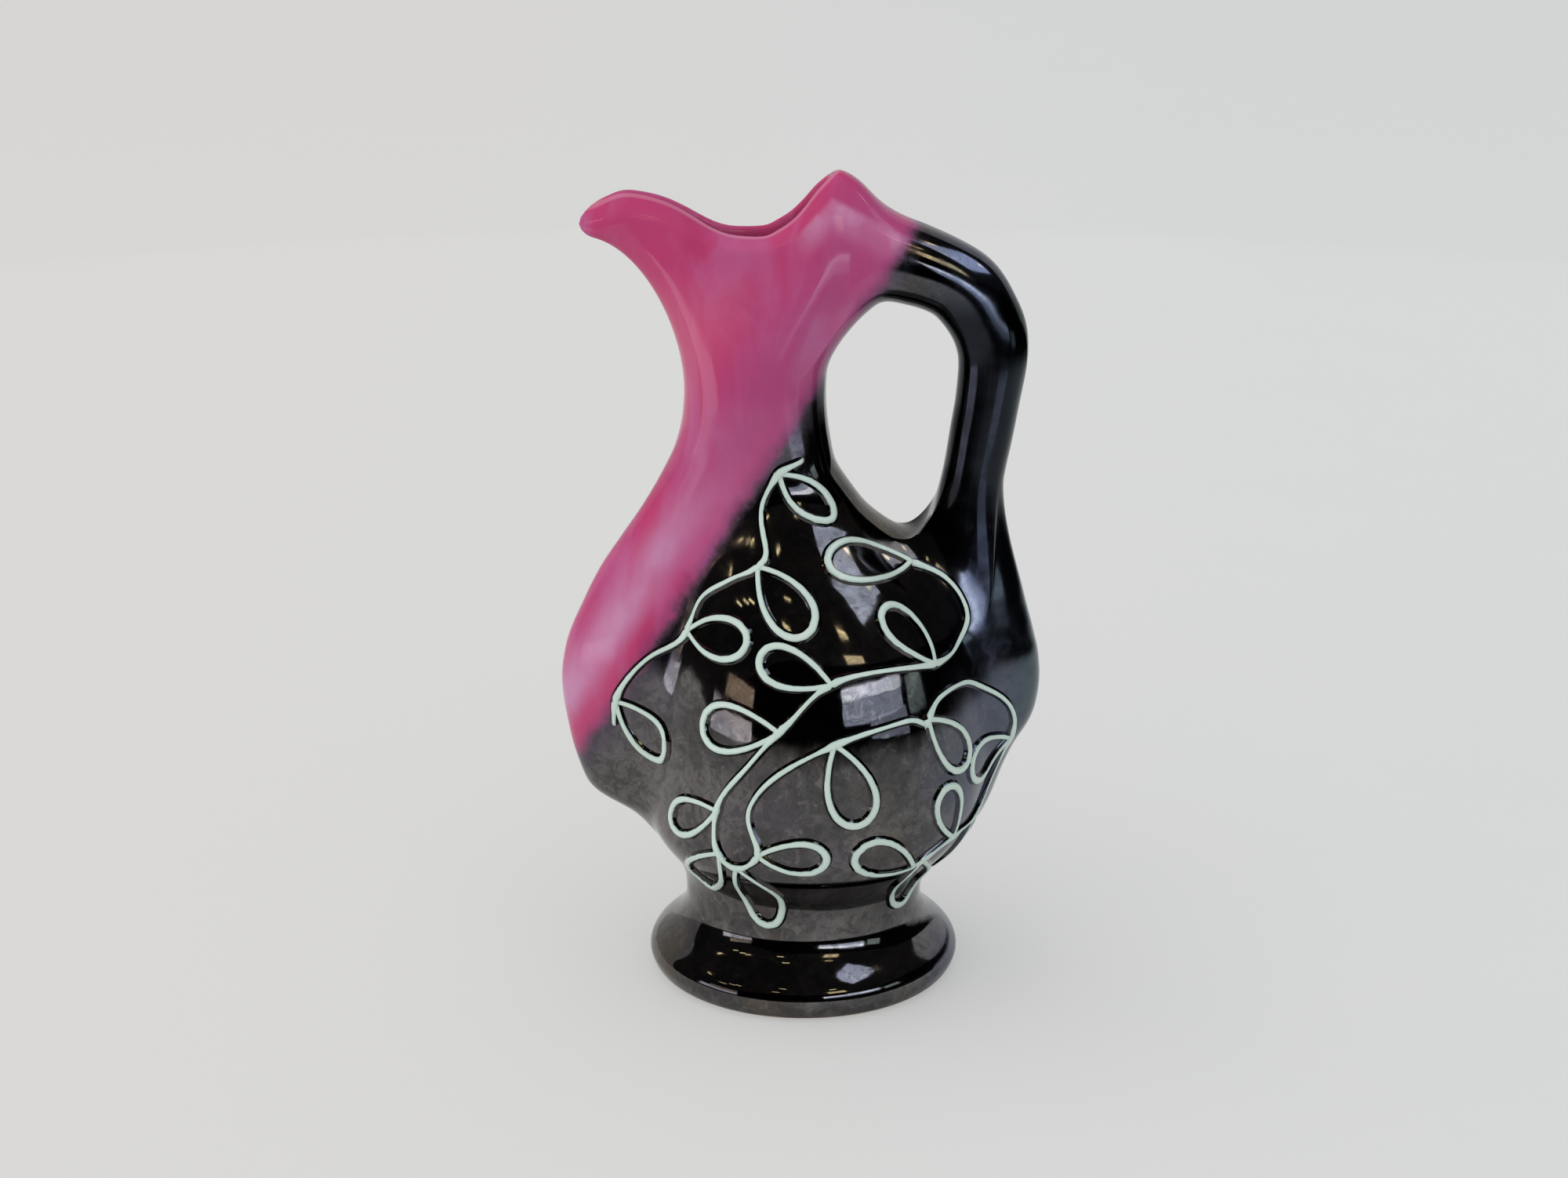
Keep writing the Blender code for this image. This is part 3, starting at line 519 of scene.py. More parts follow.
def directions(points, closed=False):
    last = len(points) - 1
    if closed:
        return [(points[(i + 1) % len(points)] - points[i - 1]).normalized() for i in range(len(points))]
    return [(points[min(i + 1, last)] - points[max(i - 1, 0)]).normalized() for i in range(len(points))]


def stem_line(route, side):
    curves = [smooth_curve(list(zip(range(len(route)), column)), swing=True) for column in zip(*route)]
    line = []
    for i in range(ROUTE_STEPS * (len(route) - 1) + 1):
        turn, share = (curve(i / ROUTE_STEPS) for curve in curves)
        height = between(WAIST, NECK, share)
        line.append(level_point(math.pi * (1 + side * turn), height, level_sizes(height)))
    line = evenly(line, 1.0)
    waved = []
    for i, (point, run) in enumerate(zip(line, directions(line))):
        outward = seat(point)[1].cross(run).normalized() * side
        swing = STEM_WAVE * MM * math.sin(2 * math.pi * STEM_WAVES * i / (len(line) - 1))
        waved.append(seat(point + outward * swing)[0])
    return evenly(waved, LINE_STEP)


print("points along the first stem:", len(stem_line(VINES[0][0], 1)))

# %% Leaves as loops on the skin
VINE_FIELD = NECK - WAIST
LEAF_LENGTH, LEAF_WIDTH = 0.122 * VINE_FIELD, 0.080 * VINE_FIELD
LEAF_ROOT, LEAF_LEAN = 4.0, 0.7
LEAF_POINTS, LEAF_FULLNESS, LEAF_TAPER = 80, 0.61, 0.9


def leaf_line(root, run, side, tilt, size):
    """A loop that leaves the stem in a point, swells and is round at its far end."""
    place, normal = seat(root)
    outward = normal.cross(run).normalized() * side
    along = run * math.cos(tilt) + outward * math.sin(tilt)
    across = normal.cross(along)
    length = LEAF_ROOT / max(math.sin(tilt), LEAF_LEAN) + size * LEAF_LENGTH
    width = size * LEAF_WIDTH
    loop = []
    for k in range(LEAF_POINTS):
        turn = 2 * math.pi * k / LEAF_POINTS
        reach = 0.5 * length * (1 - math.cos(turn))
        spread = LEAF_FULLNESS * width * math.sin(turn) * math.sin(turn / 2) ** LEAF_TAPER
        loop.append(seat(place + (along * reach + across * spread) * MM)[0])
    return evenly(loop + loop[:1], LINE_STEP)[:-1]


print("leaf:", round(LEAF_LENGTH, 1), "x", round(LEAF_WIDTH, 1), "mm")

# %% [markdown]
# A bead starts as a flat grid. Its long side is bent along the line and its short side round the
# bead's section, each point measured from the skin below it, and the two edges are merged into a
# tube. The ends of a stem close to a point.

# %% Lay a bead along a line
BLACK_RIM = 0.85
FULL_WIDTH, MOST_LIFT = 1.8, 1.15
END_POINTS = 3
BEAD_FLANK = [  # across as a share of half the width, and up in millimetres
    (0, -0.4), (-0.7, -0.4), (-1.0, -0.14), (-0.9, 0.08), (-0.8, 0.26), (-0.7, 0.48), (-0.6, 0.74),
    (-0.52, 0.96), (-0.4, 1.1), (-0.22, 1.18)]
BEAD_SECTION = BEAD_FLANK + [(0, 1.2)] + [(-u, lift) for u, lift in reversed(BEAD_FLANK)]


def lay_bead(bm, line, closed, halves):
    """A bead as a grid, bent round into a tube. Halves are half the mint's width along the line."""
    runs = directions(line, closed)
    count = len(line) + closed
    last = len(BEAD_SECTION) - 1
    made = bmesh.ops.create_grid(bm, x_segments=count - 1, y_segments=last, size=1.0)["verts"]
    seats = [seat(point) for point in line]
    for vert in made:
        i = round((vert.co.x + 1) / 2 * (count - 1)) % len(line)
        u, lift = BEAD_SECTION[round((vert.co.y + 1) / 2 * last)]
        place, normal = seats[i]
        width = halves[i] + BLACK_RIM
        if not closed:
            from_end = min(i / END_POINTS, (len(line) - 1 - i) / END_POINTS, 1.0)
            width *= math.sqrt(1 - (1 - from_end) ** 2)
        foot = seat(place + normal.cross(runs[i]).normalized() * u * width * MM)[0]
        vert.co = foot + normal * lift * min(width / FULL_WIDTH, MOST_LIFT) * MM
    bmesh.ops.remove_doubles(bm, verts=made, dist=1e-6)


print("points round a bead:", len(BEAD_SECTION))

# %% Where the bead is mint
MINT_RUN, MINT_SWELL, MINT_LEAF, MINT_END = 0.66, 0.55, 0.06, 0.42
SWELL_REACH = 3.5
HAND_WAVER, WAVER_PACE = 0.08, 0.21


def mark_mint(bm, lines, halves):
    """Flank is the distance from the nearest line, as a share of half the mint's width there. So
    where two beads meet, the mint of one runs into the other."""
    layer = bm.verts.layers.float.new("flank")
    points = [point for line in lines for point in line]
    widths = [half for line in halves for half in line]
    tree = KDTree(len(points))
    for i, point in enumerate(points):
        tree.insert(point, i)
    tree.balance()
    for vert in bm.verts:
        _, i, away = tree.find(seat(vert.co)[0])
        vert[layer] = away / (widths[i] * MM)


def stem_mint(stem, roots):
    """The mint is thin along the stem's run, and gathers where a leaf starts."""
    near = [min((point - root).length for root in roots) / (SWELL_REACH * MM) for point in stem]
    return [MINT_RUN + HAND_WAVER * math.sin(WAVER_PACE * i) + MINT_SWELL * math.exp(-gap * gap)
            for i, gap in enumerate(near)]


def leaf_mint(leaf):
    """Wider at the leaf's far end, where the bulb slows down and turns."""
    shares = [i / (len(leaf) - 1) for i in range(len(leaf))]
    return [MINT_RUN + MINT_LEAF + MINT_END * math.sin(math.pi * share) ** 3 for share in shares]


print("mint line:", 2 * MINT_RUN, "mm wide along a stem")

# %% Trail the vines on both sides
LEAF_VARIES, VARIES_PACE = 0.14, 2.4
vines = []
for side, side_name in ((1, "left"), (-1, "right")):
    for number, (route, leaves) in enumerate(VINES, 1):
        vine_bm = bmesh.new()
        stem = stem_line(route, side)
        runs = directions(stem)
        roots = [stem[round(share * (len(stem) - 1))] for share, _, _ in leaves]
        lines, halves = [stem], [stem_mint(stem, roots)]
        for count, (share, hand, tilt) in enumerate(leaves, 1):
            i = round(share * (len(stem) - 1))
            size = 1 + LEAF_VARIES * math.sin(VARIES_PACE * (count + number))
            lines.append(leaf_line(stem[i], runs[i], hand * side, math.radians(tilt), size))
            halves.append(leaf_mint(lines[-1]))
        for line, half in zip(lines, halves):
            lay_bead(vine_bm, line, line is not stem, half)
        mark_mint(vine_bm, lines, halves)
        name = f"{side_name}_vine_{number}"
        vine = make_piece(vine_bm, name)
        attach(vine, "root")
        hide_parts(*[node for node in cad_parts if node.startswith(name)])
        vines.append(vine)
        print(name, len(vine.data.polygons), "faces")

# %% [markdown]
# ## Glazes
# Each finish is a node tree on object coordinates, in metres, so that a pattern keeps its real size.
# A few helpers make the trees short to write: two feed values or links into sockets, and the others
# add the nodes that are used over and over.

# %% Node helpers: links and sums
def feed(tree, socket, value):
    if isinstance(value, bpy.types.NodeSocket):
        tree.links.new(value, socket)
    else:
        socket.default_value = value


def fill(tree, node, values):
    """Feeds several sockets of a node, by their names."""
    for name, value in values.items():
        feed(tree, node.inputs[name], value)


def sums(tree, operation, *values):
    node = tree.nodes.new("ShaderNodeMath")
    node.operation = operation
    for socket, value in zip(node.inputs, values):
        feed(tree, socket, value)
    return node.outputs[0]


def product(tree, share, *others):
    """Shares multiplied: the result is high only where all of them are."""
    for other in others:
        share = sums(tree, "MULTIPLY", share, other)
    return share


def the_rest(tree, share):
    return sums(tree, "SUBTRACT", 1.0, share)


def x_and_z(tree, place):
    node = tree.nodes.new("ShaderNodeSeparateXYZ")
    feed(tree, node.inputs[0], place)
    return node.outputs["X"], node.outputs["Z"]


def carried(tree, name):
    """A number that the mesh carries for each of its points."""
    node = tree.nodes.new("ShaderNodeAttribute")
    node.attribute_name = name
    return node.outputs["Fac"]


print("helpers for links and sums ready")

# %% Node helpers: patterns and mixes
def noise(tree, place, size, detail=3.0, roughness=0.55, stretch=(1, 1, 1), twist=0.0):
    """Cloudy noise whose blotches are about size millimetres across."""
    mapping = tree.nodes.new("ShaderNodeMapping")
    fill(tree, mapping, {"Vector": place, "Scale": stretch})
    node = tree.nodes.new("ShaderNodeTexNoise")
    fill(tree, node, {"Vector": mapping.outputs[0], "Scale": 1 / (size * MM), "Detail": detail,
                      "Roughness": roughness, "Distortion": twist})
    return node.outputs["Fac"]


def step(tree, value, low, high, to_low=0.0, to_high=1.0):
    """A smooth step from one value to another, as the input goes from low to high."""
    node = tree.nodes.new("ShaderNodeMapRange")
    node.interpolation_type = "SMOOTHSTEP"
    for socket, given in zip(node.inputs, (value, low, high, to_low, to_high)):
        feed(tree, socket, given)
    return node.outputs[0]


def mix(tree, share, one, two):
    """One colour where the share is 0, the other where it is 1."""
    node = tree.nodes.new("ShaderNodeMix")
    node.data_type = "RGBA"
    for name, value in (("Factor_Float", share), ("A_Color", one), ("B_Color", two)):
        feed(tree, next(s for s in node.inputs if s.identifier == name), value)
    return next(s for s in node.outputs if s.identifier == "Result_Color")


def mix_numbers(tree, share, one, two):
    node = tree.nodes.new("ShaderNodeMix")
    for socket, value in zip(node.inputs[:1] + node.inputs[2:4], (share, one, two)):
        feed(tree, socket, value)
    return node.outputs[0]


def new_finish(name):
    material = bpy.data.materials.new(name)
    material.use_nodes = True
    tree = material.node_tree
    place = tree.nodes.new("ShaderNodeTexCoord").outputs["Object"]
    return material, tree, place, tree.nodes["Principled BSDF"]


print("helpers for patterns and mixes ready")

# %% [markdown]
# ### Black lustre
# The black glaze carries a thin film of metal, so it mirrors the room like smoked steel: almost
# black where the room is dark, gunmetal grey where it mirrors the table. The film is uneven. It has
# cloudy patches, fine mottling where it is worn, and faint violet and bronze tints. As a shader it
# is a metal with a dark colour, because the colour of a metal is how much it mirrors. Each kind of
# mottling is one noise, and its colour is laid over the film where the noise passes a threshold.

# %% Mottling of the lustre
THIN_FILM, THICK_FILM = (0.088, 0.086, 0.088, 1), (0.155, 0.149, 0.146, 1)


def mottled_film(tree, place, clouds, blotches):
    rubs = noise(tree, place, 5, detail=5, roughness=0.7, stretch=(1, 1, 0.22), twist=0.5)
    grit = noise(tree, place, 2.6, detail=4, roughness=0.65, twist=0.6)
    specks = noise(tree, place, 1.3, detail=2, roughness=0.5)
    tint = noise(tree, place, 34, detail=2)
    layers = [  # pattern, where it starts, where it is full, how strong, colour
        (rubs, 0.54, 0.68, 0.30, (0.205, 0.195, 0.186, 1)),
        (blotches, 0.50, 0.58, 0.55, (0.066, 0.063, 0.062, 1)),
        (blotches, 0.43, 0.37, 0.55, (0.215, 0.203, 0.194, 1)),
        (grit, 0.52, 0.60, 0.42, (0.060, 0.057, 0.056, 1)),
        (specks, 0.64, 0.74, 0.55, (0.040, 0.038, 0.038, 1)),
        (tint, 0.55, 0.72, 0.35, (0.140, 0.125, 0.170, 1)),
        (tint, 0.46, 0.30, 0.40, (0.190, 0.150, 0.105, 1))]
    film = mix(tree, step(tree, clouds, 0.36, 0.62), THIN_FILM, THICK_FILM)
    for pattern, start, full, strength, color in layers:
        film = mix(tree, step(tree, pattern, start, full, 0.0, strength), film, color)
    return film


print("mottling ready")

# %% [markdown]
# The film also changes over the jug. It fires to a steel blue on the right and to teal at the far
# right edge. On the bar of the handle it is painted nearly black: painted shade that stands in for the
# dark room the bar mirrors. On the handle and the right lobe it is a little rougher, so highlights
# are broad and soft there.

# %% Colour and roughness of the lustre
STEEL_BLUE, TEAL_EDGE = (0.105, 0.125, 0.185, 1), (0.06, 0.105, 0.105, 1)
# Painted shade for the dark room that the handle's bar mirrors.
BAR_PAINTED_DARK = (0.011, 0.013, 0.016, 1)


def lustre(tree, place):
    clouds = noise(tree, place, 26, detail=5, roughness=0.62, twist=0.8)
    blotches = noise(tree, place, 6.5, detail=6, roughness=0.66, twist=1.2)
    film = mottled_film(tree, place, clouds, blotches)
    x, z = x_and_z(tree, place)
    film = mix(tree, step(tree, x, 0.030, 0.050, 0.0, 0.6), film, STEEL_BLUE)
    # The bar of the handle is painted nearly black, as shade for the dark room it mirrors.
    bar = product(tree, step(tree, z, 0.125, 0.155, 0.0, 0.9), step(tree, x, 0.018, 0.032),
                  step(tree, z, 0.222, 0.206))
    film = mix(tree, bar, film, BAR_PAINTED_DARK)
    film = mix(tree, step(tree, x, 0.058, 0.072, 0.0, 0.6), film, TEAL_EDGE)
    worn = step(tree, blotches, 0.45, 0.72, 0.0, 0.07)
    rough = sums(tree, "ADD", worn, step(tree, clouds, 0.3, 0.7, 0.035, 0.075))
    rough = sums(tree, "ADD", rough, step(tree, x, 0.034, 0.048, 0.0, 0.07))
    return film, rough


print("lustre ready")

# %% [markdown]
# ### Pink glaze
# The pink glaze is opaque and glassy. It runs down while it is wet, so pale veils hang in it and it
# is deeper where it gathers. It breaks pale where it runs thin over the lip, and a painted highlight
# lies along the same edge. Painted highlights also lie under the slanting edges of the crest and, as a
# lavender sheen, in a band along the lower end of the glaze line. Painted warm light makes the
# spout's side of the neck warmer, and painted cool light makes the handle's side more violet.

# %% The line between the glazes
LINE_LOW, LINE_HIGH = (-68.0, 71.0), (35.0, 236.0)


def glaze_line(tree, x, height):
    """Distance from the slanting glaze line in millimetres, above 0 on the black side."""
    run = Vector(LINE_HIGH) - Vector(LINE_LOW)
    across = Vector((run.y, -run.x)).normalized()
    offset = -(across.x * LINE_LOW[0] + across.y * LINE_LOW[1])
    x_part = sums(tree, "MULTIPLY", x, across.x / MM)
    distance = sums(tree, "MULTIPLY_ADD", height, across.y / MM, x_part)
    return sums(tree, "ADD", distance, offset)


print("glaze line from", LINE_LOW, "to", LINE_HIGH, "mm")

# %% The pink glaze's colours
DEEP_PINK, VEIL_PINK = (0.50, 0.055, 0.170, 1), (0.50, 0.135, 0.315, 1)
# Besides the glaze's own pinks, these hold painted light: warm and cool tints for the neck's sides, a
# lavender sheen, a highlight under the crest's edges, and the lip's pale break with its highlight.
GATHERED_PINK, PAINTED_WARM_PINK = (0.40, 0.038, 0.13, 1), (0.62, 0.115, 0.225, 1)
PAINTED_COOL_PINK, PAINTED_SHEEN_LAVENDER = (0.37, 0.085, 0.240, 1), (0.60, 0.31, 0.52, 1)
PAINTED_EAVES_HIGHLIGHT, LIP_BREAK_AND_HIGHLIGHT = (0.66, 0.33, 0.55, 1), (0.68, 0.30, 0.41, 1)
FALL_SLOPE, FALL_TOP, RISE_SLOPE, RISE_TOP = 0.52, 0.2470, 1.0, 0.2350


def eaves_highlight_band(tree, x, height):
    """Painted highlight under the crest's two edges: one falls to the handle, one rises from the mouth.
    """
    falling = sums(tree, "MULTIPLY_ADD", x, FALL_SLOPE, height)
    rising = sums(tree, "MULTIPLY_ADD", x, -RISE_SLOPE, height)
    under = sums(tree, "MAXIMUM", sums(tree, "SUBTRACT", falling, FALL_TOP),
                 sums(tree, "SUBTRACT", rising, RISE_TOP))
    return product(tree, step(tree, under, -0.012, -0.001), step(tree, under, 0.0014, -0.0010),
                   step(tree, x, -0.006, 0.006))


def pink_glaze(tree, place, distance, lip):
    x, height = x_and_z(tree, place)
    veils = noise(tree, place, 26, detail=4, stretch=(1.6, 1.6, 0.45), twist=0.8)
    depth = noise(tree, place, 11, detail=3, stretch=(1, 1, 0.6))
    pink = mix(tree, step(tree, veils, 0.42, 0.70, 0.0, 0.6), DEEP_PINK, VEIL_PINK)
    pink = mix(tree, step(tree, depth, 0.48, 0.70, 0.0, 0.35), pink, GATHERED_PINK)
    # Painted warm light on the spout's side of the neck.
    warm = product(tree, step(tree, distance, -24.0, -40.0, 0.0, 0.5), step(tree, height, 0.226, 0.206))
    pink = mix(tree, warm, pink, PAINTED_WARM_PINK)
    # Painted cool light on the handle's side of the neck.
    cool = product(tree, step(tree, distance, -33.0, -14.0, 0.0, 0.5), step(tree, height, 0.145, 0.175))
    pink = mix(tree, cool, pink, PAINTED_COOL_PINK)
    # A painted lavender sheen in a band along the lower end of the glaze line.
    band = product(tree, step(tree, distance, -23.0, -14.0), step(tree, distance, -5.0, -13.0),
                   step(tree, height, 0.165, 0.135), step(tree, depth, 0.3, 0.7, 0.4, 0.75))
    pink = mix(tree, band, pink, PAINTED_SHEEN_LAVENDER)
    # A painted highlight under the slanting edges of the crest.
    eaves = product(tree, eaves_highlight_band(tree, x, height), step(tree, depth, 0.35, 0.62, 0.25, 0.65))
    pink = mix(tree, eaves, pink, PAINTED_EAVES_HIGHLIGHT)
    # Paler where the glaze runs thin over the lip, with a painted highlight along it.
    pink = mix(tree, step(tree, lip, 0.02, 0.24, 0.0, 0.4), pink, LIP_BREAK_AND_HIGHLIGHT)
    return pink, step(tree, veils, 0.3, 0.7, 0.08, 0.15)


print("pink glaze ready")

# %% [markdown]
# ### Both glazes on the skin
# The line between the glazes slants from the handle down to the left lobe. Along it they run into
# each other: the pink ends in a violet smudge, and the black starts thin, rough and violet. The
# inside is pink all over. The foot is wiped before the firing, so a thin edge of clay stays bare.

# %% The skin's glaze
SMUDGE, THIN_BLACK, BARE_CLAY = (0.10, 0.045, 0.12, 1), (0.105, 0.085, 0.125, 1), (0.60, 0.50, 0.38, 1)


def skin_glaze():
    material, tree, place, shader = new_finish("two_glazes")
    x, height = x_and_z(tree, place)
    distance = glaze_line(tree, x, height)
    ragged = noise(tree, place, 9, detail=4, roughness=0.6)
    fine = noise(tree, place, 1.6, detail=3)
    wander = sums(tree, "MULTIPLY_ADD", ragged, 5.0, -2.5)
    wander = sums(tree, "MULTIPLY_ADD", fine, 1.6, wander)
    edge = sums(tree, "ADD", distance, wander)
    inner = carried(tree, "inside")
    outer = the_rest(tree, inner)
    black = product(tree, step(tree, edge, -1.6, 2.2), outer)

    pink, pink_rough = pink_glaze(tree, place, distance, product(tree, inner, outer))
    pink = mix(tree, product(tree, step(tree, edge, -5.0, 0.5), outer, 0.6), pink, SMUDGE)
    film, film_rough = lustre(tree, place)
    thin = product(tree, step(tree, edge, 8.0, 1.0), step(tree, fine, 0.35, 0.6, 0.5, 1.0))
    film = mix(tree, product(tree, thin, 0.7), film, THIN_BLACK)
    film_rough = sums(tree, "MULTIPLY_ADD", thin, 0.16, film_rough)
    clay = step(tree, sums(tree, "MULTIPLY_ADD", fine, 0.0006, height), 0.0011, 0.0008)
    color = mix(tree, clay, mix(tree, black, pink, film), BARE_CLAY)
    metal = product(tree, black, the_rest(tree, clay))
    rough = mix_numbers(tree, black, pink_rough, film_rough)
    rough = sums(tree, "MULTIPLY_ADD", clay, 0.75, rough)

    bump = tree.nodes.new("ShaderNodeBump")
    waves = noise(tree, place, 17, detail=2, roughness=0.4)
    fill(tree, bump, {"Strength": 0.35, "Distance": 0.0006, "Height": waves})
    fill(tree, shader, {"Normal": bump.outputs[0], "Base Color": color, "Metallic": metal,
                        "Roughness": rough, "IOR": 1.5, "Specular IOR Level": 0.28})
    return material


skin.data.materials.append(skin_glaze())
print("skin glaze nodes:", len(skin.data.materials[0].node_tree.nodes))

# %% [markdown]
# ### Mint enamel
# The enamel is an opaque mint white. It is a little thinner and greener towards the edges of each
# bead, and the black glaze laps up its flanks. There the black is painted darker: painted shade for
# the dark that the raised rims mirror. The bead carries an attribute that says how far each point
# lies from its crown, so the edge of the mint follows the line wherever it bends.

# %% The vine's enamel
MINT, THIN_MINT, MILKY_MINT = (0.60, 0.735, 0.67, 1), (0.44, 0.60, 0.545, 1), (0.66, 0.74, 0.69, 1)
# Painted shade for the dark that the beads' raised rims mirror.
RIM_PAINTED_DARK = (0.03, 0.03, 0.032, 1)


def vine_enamel():
    material, tree, place, shader = new_finish("mint_enamel")
    flank = carried(tree, "flank")
    uneven = noise(tree, place, 2.4, detail=3)
    reach = sums(tree, "MULTIPLY_ADD", uneven, 0.4, flank)
    black = step(tree, reach, 1.12, 1.28)
    clouds = noise(tree, place, 7, detail=3)
    mint = mix(tree, step(tree, reach, 0.6, 1.15), MINT, THIN_MINT)
    mint = mix(tree, step(tree, clouds, 0.5, 0.75, 0.0, 0.5), mint, MILKY_MINT)
    film, film_rough = lustre(tree, place)
    # The black on the rims is painted darker, as shade for the dark the raised rims mirror.
    film = mix(tree, 0.5, film, RIM_PAINTED_DARK)
    rough = mix_numbers(tree, black, step(tree, clouds, 0.3, 0.7, 0.16, 0.26), film_rough)
    fill(tree, shader, {"Base Color": mix(tree, black, mint, film), "Metallic": black,
                        "Roughness": rough, "IOR": 1.55})
    return material


enamel = vine_enamel()
for vine in vines:
    vine.data.materials.append(enamel)
print("enamel nodes:", len(enamel.node_tree.nodes))

# %% [markdown]
# ## Table, light and camera
# The jug stands on a wide pale table. Half of the table's tone is a glow of its own that only the
# camera sees. So the jug's shadow stays, but is as faint as in a bright room where light comes back
# from every wall, and the jug gets no more light for it.

# %% The table
OWN_GLOW, TABLE_LIGHT = 0.5, 0.86
# Tints of painted light for the table's left and right sides, and a grain tone.
WARM_LIGHT_TONE, COOL_LIGHT_TONE, GRAIN_TONE = (0.80, 0.79, 0.775, 1), (0.765, 0.79, 0.79, 1), (0.785, 0.785, 0.78, 1)
BLACK = (0, 0, 0, 1)
table_bm = bmesh.new()
bmesh.ops.create_circle(table_bm, cap_ends=True, cap_tris=False, segments=96, radius=4.5)
table = make_piece(table_bm, "table")


def table_finish():
    material, tree, place, shader = new_finish("pale_table")
    x, _ = x_and_z(tree, place)
    grain = noise(tree, place, 60, detail=3)
    # Painted light: the table is warmer on the left and cooler on the right.
    tone = mix(tree, step(tree, x, -0.5, 0.5), WARM_LIGHT_TONE, COOL_LIGHT_TONE)
    tone = mix(tree, step(tree, grain, 0.3, 0.7, 0.0, 0.3), tone, GRAIN_TONE)
    ray = tree.nodes.new("ShaderNodeLightPath")
    glow = product(tree, ray.outputs["Is Camera Ray"], OWN_GLOW)
    fill(tree, shader, {"Base Color": mix(tree, glow, tone, BLACK), "Emission Color": tone,
                        "Emission Strength": product(tree, glow, TABLE_LIGHT), "Roughness": 0.7,
                        "Specular IOR Level": 0.2})
    return material


table.data.materials.append(table_finish())
print("table faces up:", all(face.normal.z > 0 for face in table.data.polygons))

# %% [markdown]
# ### Soft light
# The room lights the jug from all sides, and two very wide suns add some light from above and a warm
# fill from the left. The glazes mirror none of it: to mirrored rays the room is nearly black, so
# that only the windows and lamps of the next step show in them.

# %% The room and the sky
scene = bpy.context.scene
world = bpy.data.worlds.new("pale_room")
world.use_nodes = True
ROOM, MIRRORED_ROOM = (0.47, 0.48, 0.495, 1), (0.03, 0.028, 0.028, 1)
ray = world.node_tree.nodes.new("ShaderNodeLightPath")
tone = mix(world.node_tree, ray.outputs["Is Glossy Ray"], ROOM, MIRRORED_ROOM)
fill(world.node_tree, world.node_tree.nodes["Background"], {"Color": tone})
scene.world = world
scene.view_settings.view_transform = "Standard"


def aim(lamp, place, target=(0, 0, 0.12)):
    lamp.location = place
    lamp.rotation_euler = (Vector(target) - Vector(place)).to_track_quat("-Z", "Y").to_euler()
    scene.collection.objects.link(lamp)


def sky_light(name, energy, color, place):
    """Very wide light that comes from a side of the sky. The glazes don't mirror it."""
    soft = bpy.data.lights.new(name, "SUN")
    soft.energy, soft.angle, soft.color = energy, math.radians(120), color
    sky = bpy.data.objects.new(name, soft)
    aim(sky, place)
    sky.visible_glossy = False
    return soft


sky_light("high_sky", 0.45, (0.97, 0.98, 1.0), (-0.3, -0.5, 2.0))
sky_light("warm_fill", 1.35, (1.0, 0.94, 0.88), (-1.4, -0.9, 1.9)).use_shadow = False
print("soft lights:", [light.name for light in bpy.data.lights])

# %% [markdown]
# ### Windows and lamps in the glaze
# A black glaze looks like what it mirrors. Each highlight on the jug tells a direction: follow the
# camera's line to it, turn off as a mirror does, and a glowing pane has to stand there. Cool windows
# stand low on the right and the left, with a warm curtain over the left one, and small gold lamps
# hang overhead. Two more panes stand close by, for the long sheen on the handle and the right lobe.
# The panes give no light but their mirror images.

# %% The windows and lamps
JUG_MIDDLE, PANE_DISTANCE = Vector((0, -0.035, 0.1)), 0.45
HANDLE_BEND, LOBE, NEAR_DISTANCE = Vector((0.047, -0.008, 0.224)), Vector((0.055, -0.012, 0.115)), 0.2
COOL, BLUE, TEAL, GOLD = (0.86, 0.92, 1.0), (0.72, 0.80, 1.0), (0.74, 0.92, 0.88), (1.0, 0.82, 0.45)
LILAC, PEACH = (0.93, 0.90, 1.0), (1.0, 0.82, 0.68)
LAMP_WAYS = [
    (-70, 25), (-64, 30), (-59, 33), (-25, 34), (-92, 32), (70, 61), (94, 48), (29, 45), (-22, 50)]


def window_light(name, turn, rise, wide, high, radiance, color, middle=JUG_MIDDLE,
                 distance=PANE_DISTANCE):
    """A glowing pane in a direction from the jug: turn to the right of the camera, rise above the
    table and its spread, all in degrees. Its radiance is the tone of its mirror image."""
    turn, rise, wide, high = (math.radians(angle) for angle in (turn, rise, wide, high))
    lamp = bpy.data.lights.new(name, "AREA")
    lamp.shape = "RECTANGLE"
    lamp.size, lamp.size_y = (2 * distance * math.tan(angle / 2) for angle in (wide, high))
    lamp.energy = radiance * math.pi * lamp.size * lamp.size_y
    lamp.color = color
    pane = bpy.data.objects.new(name, lamp)
    way = Vector((math.sin(turn) * math.cos(rise), -math.cos(turn) * math.cos(rise), math.sin(rise)))
    aim(pane, middle + distance * way, middle)
    pane.visible_diffuse = False


window_light("right_window", 37, 13, 44, 4.5, 4.5, COOL)
window_light("right_sill", 37, 8.2, 44, 4.6, 1.9, BLUE)
window_light("side_pane", 70, 8, 13, 9, 0.9, TEAL)
window_light("left_window", -66, -2.5, 32, 9, 2.2, LILAC)
window_light("left_curtain", -62, 6, 22, 5, 1.0, PEACH)
window_light("handle_pane", 67, 43, 44, 26, 2.4, BLUE, HANDLE_BEND, NEAR_DISTANCE)
window_light("lobe_pane", 34, -3, 30, 10, 1.3, BLUE, LOBE, NEAR_DISTANCE)
window_light("gold_pane", 29, 32, 13, 8, 3.0, GOLD)
for number, (turn, rise) in enumerate(LAMP_WAYS, 1):
    window_light(f"ceiling_lamp_{number}", turn, rise, 5, 1.6, 6.0, GOLD)
print("windows and lamps:", sum(light.type == "AREA" for light in bpy.data.lights))

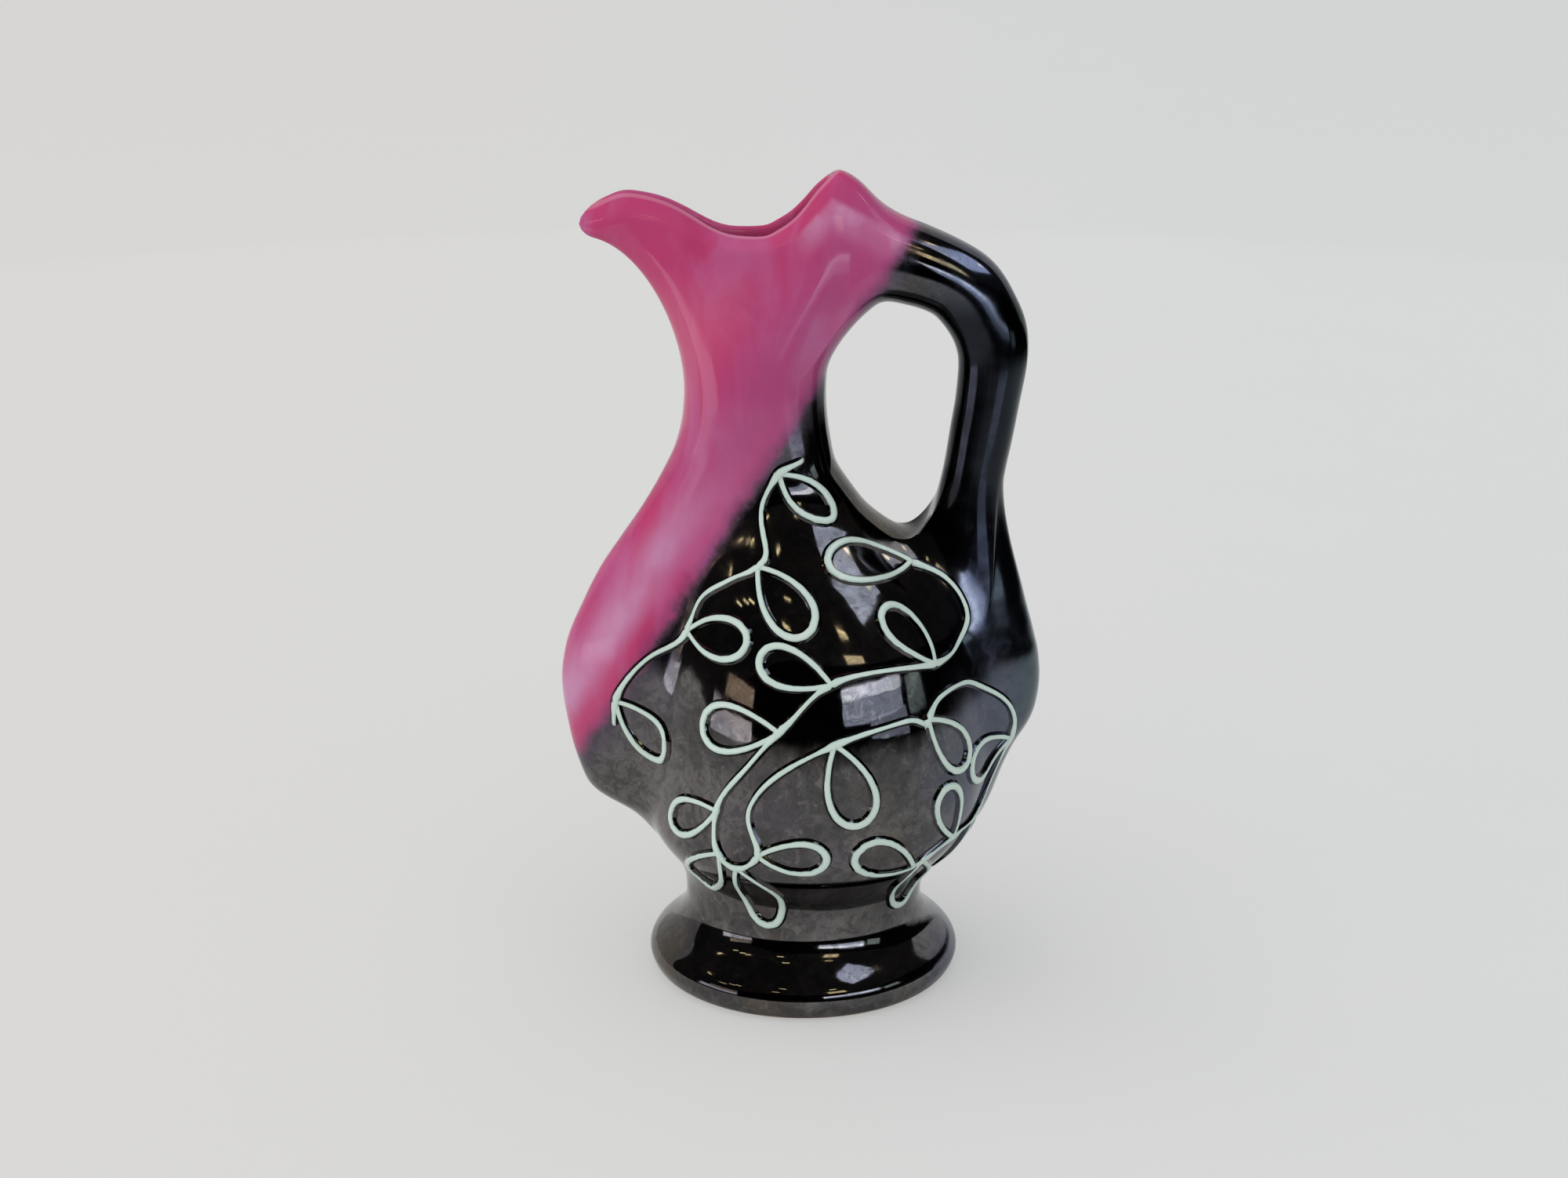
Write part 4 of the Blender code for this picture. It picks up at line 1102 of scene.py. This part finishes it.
# %% [markdown]
# ### Screens
# A potter who photographs black lustre ware stands dark screens round the table, or the whole jug
# would mirror the pale table top and look grey. Here a low wall, which only mirrored rays can see,
# stands in front and on the right, and falls away to nothing on the left. Behind the jug a pale
# backdrop goes up, and gives the foot and the turning edges their grey shine.

# %% The dark screens and the backdrop
SCREEN_TOP, BACKDROP_TOP = 0.34, 1.5
HEM_START = 0.03


def wall(name, radius, height_at, color, hem):
    """A round wall about the jug that only mirrored rays see. Its height goes by the direction from
    the jug, and its hem fades in from the table up."""
    wall_bm = bmesh.new()
    row = list(bmesh.ops.create_circle(wall_bm, segments=96, radius=radius)["verts"])
    grow(wall_bm, row, [vert.co + Vector((0, 0, height_at(vert.co / radius))) for vert in row])
    piece = make_piece(wall_bm, name)
    piece.visible_camera = piece.visible_diffuse = piece.visible_shadow = False
    cloth, tree, place, shader = new_finish(name)
    _, height = x_and_z(tree, place)
    folds = sums(tree, "MULTIPLY_ADD", noise(tree, place, 90, detail=2), 0.05, height)
    fill(tree, shader, {"Alpha": step(tree, folds, HEM_START, HEM_START + hem), "Base Color": color,
                        "Roughness": 1.0, "Specular IOR Level": 0.0})
    piece.data.materials.append(cloth)
    return piece


def screen_height(way):
    facing = 0.55 * way.x - 0.85 * way.y
    return SCREEN_TOP * min(max(0.5 + 0.9 * facing, 0.01), 1.0)


def backdrop_height(way):
    return BACKDROP_TOP * min(max(3 * way.y - 0.9, 0.001), 1.0)


walls = [wall("dark_screens", 0.52, screen_height, (0.006, 0.006, 0.008, 1), hem=0.075),
         wall("pale_backdrop", 1.1, backdrop_height, (0.62, 0.62, 0.61, 1), hem=0.01)]
print("walls:", [piece.name for piece in walls])

# %% [markdown]
# ### Camera
# A long lens about a metre away keeps the jug's proportions calm. It stands higher than the crest and
# looks down, so that the mouth's edge and the top of the foot can both be seen.

# %% The camera
lens = bpy.data.cameras.new("camera")
lens.lens, lens.sensor_width, lens.sensor_fit = 73.8, 36.0, "HORIZONTAL"
camera = bpy.data.objects.new("camera", lens)
camera.location = (-0.00605, -0.923, 0.4304)
camera.rotation_euler = (math.radians(71.51), 0.0, 0.0)
scene.collection.objects.link(camera)
scene.camera = camera
print("camera stands", round(camera.location.length, 3), "m from the sole")
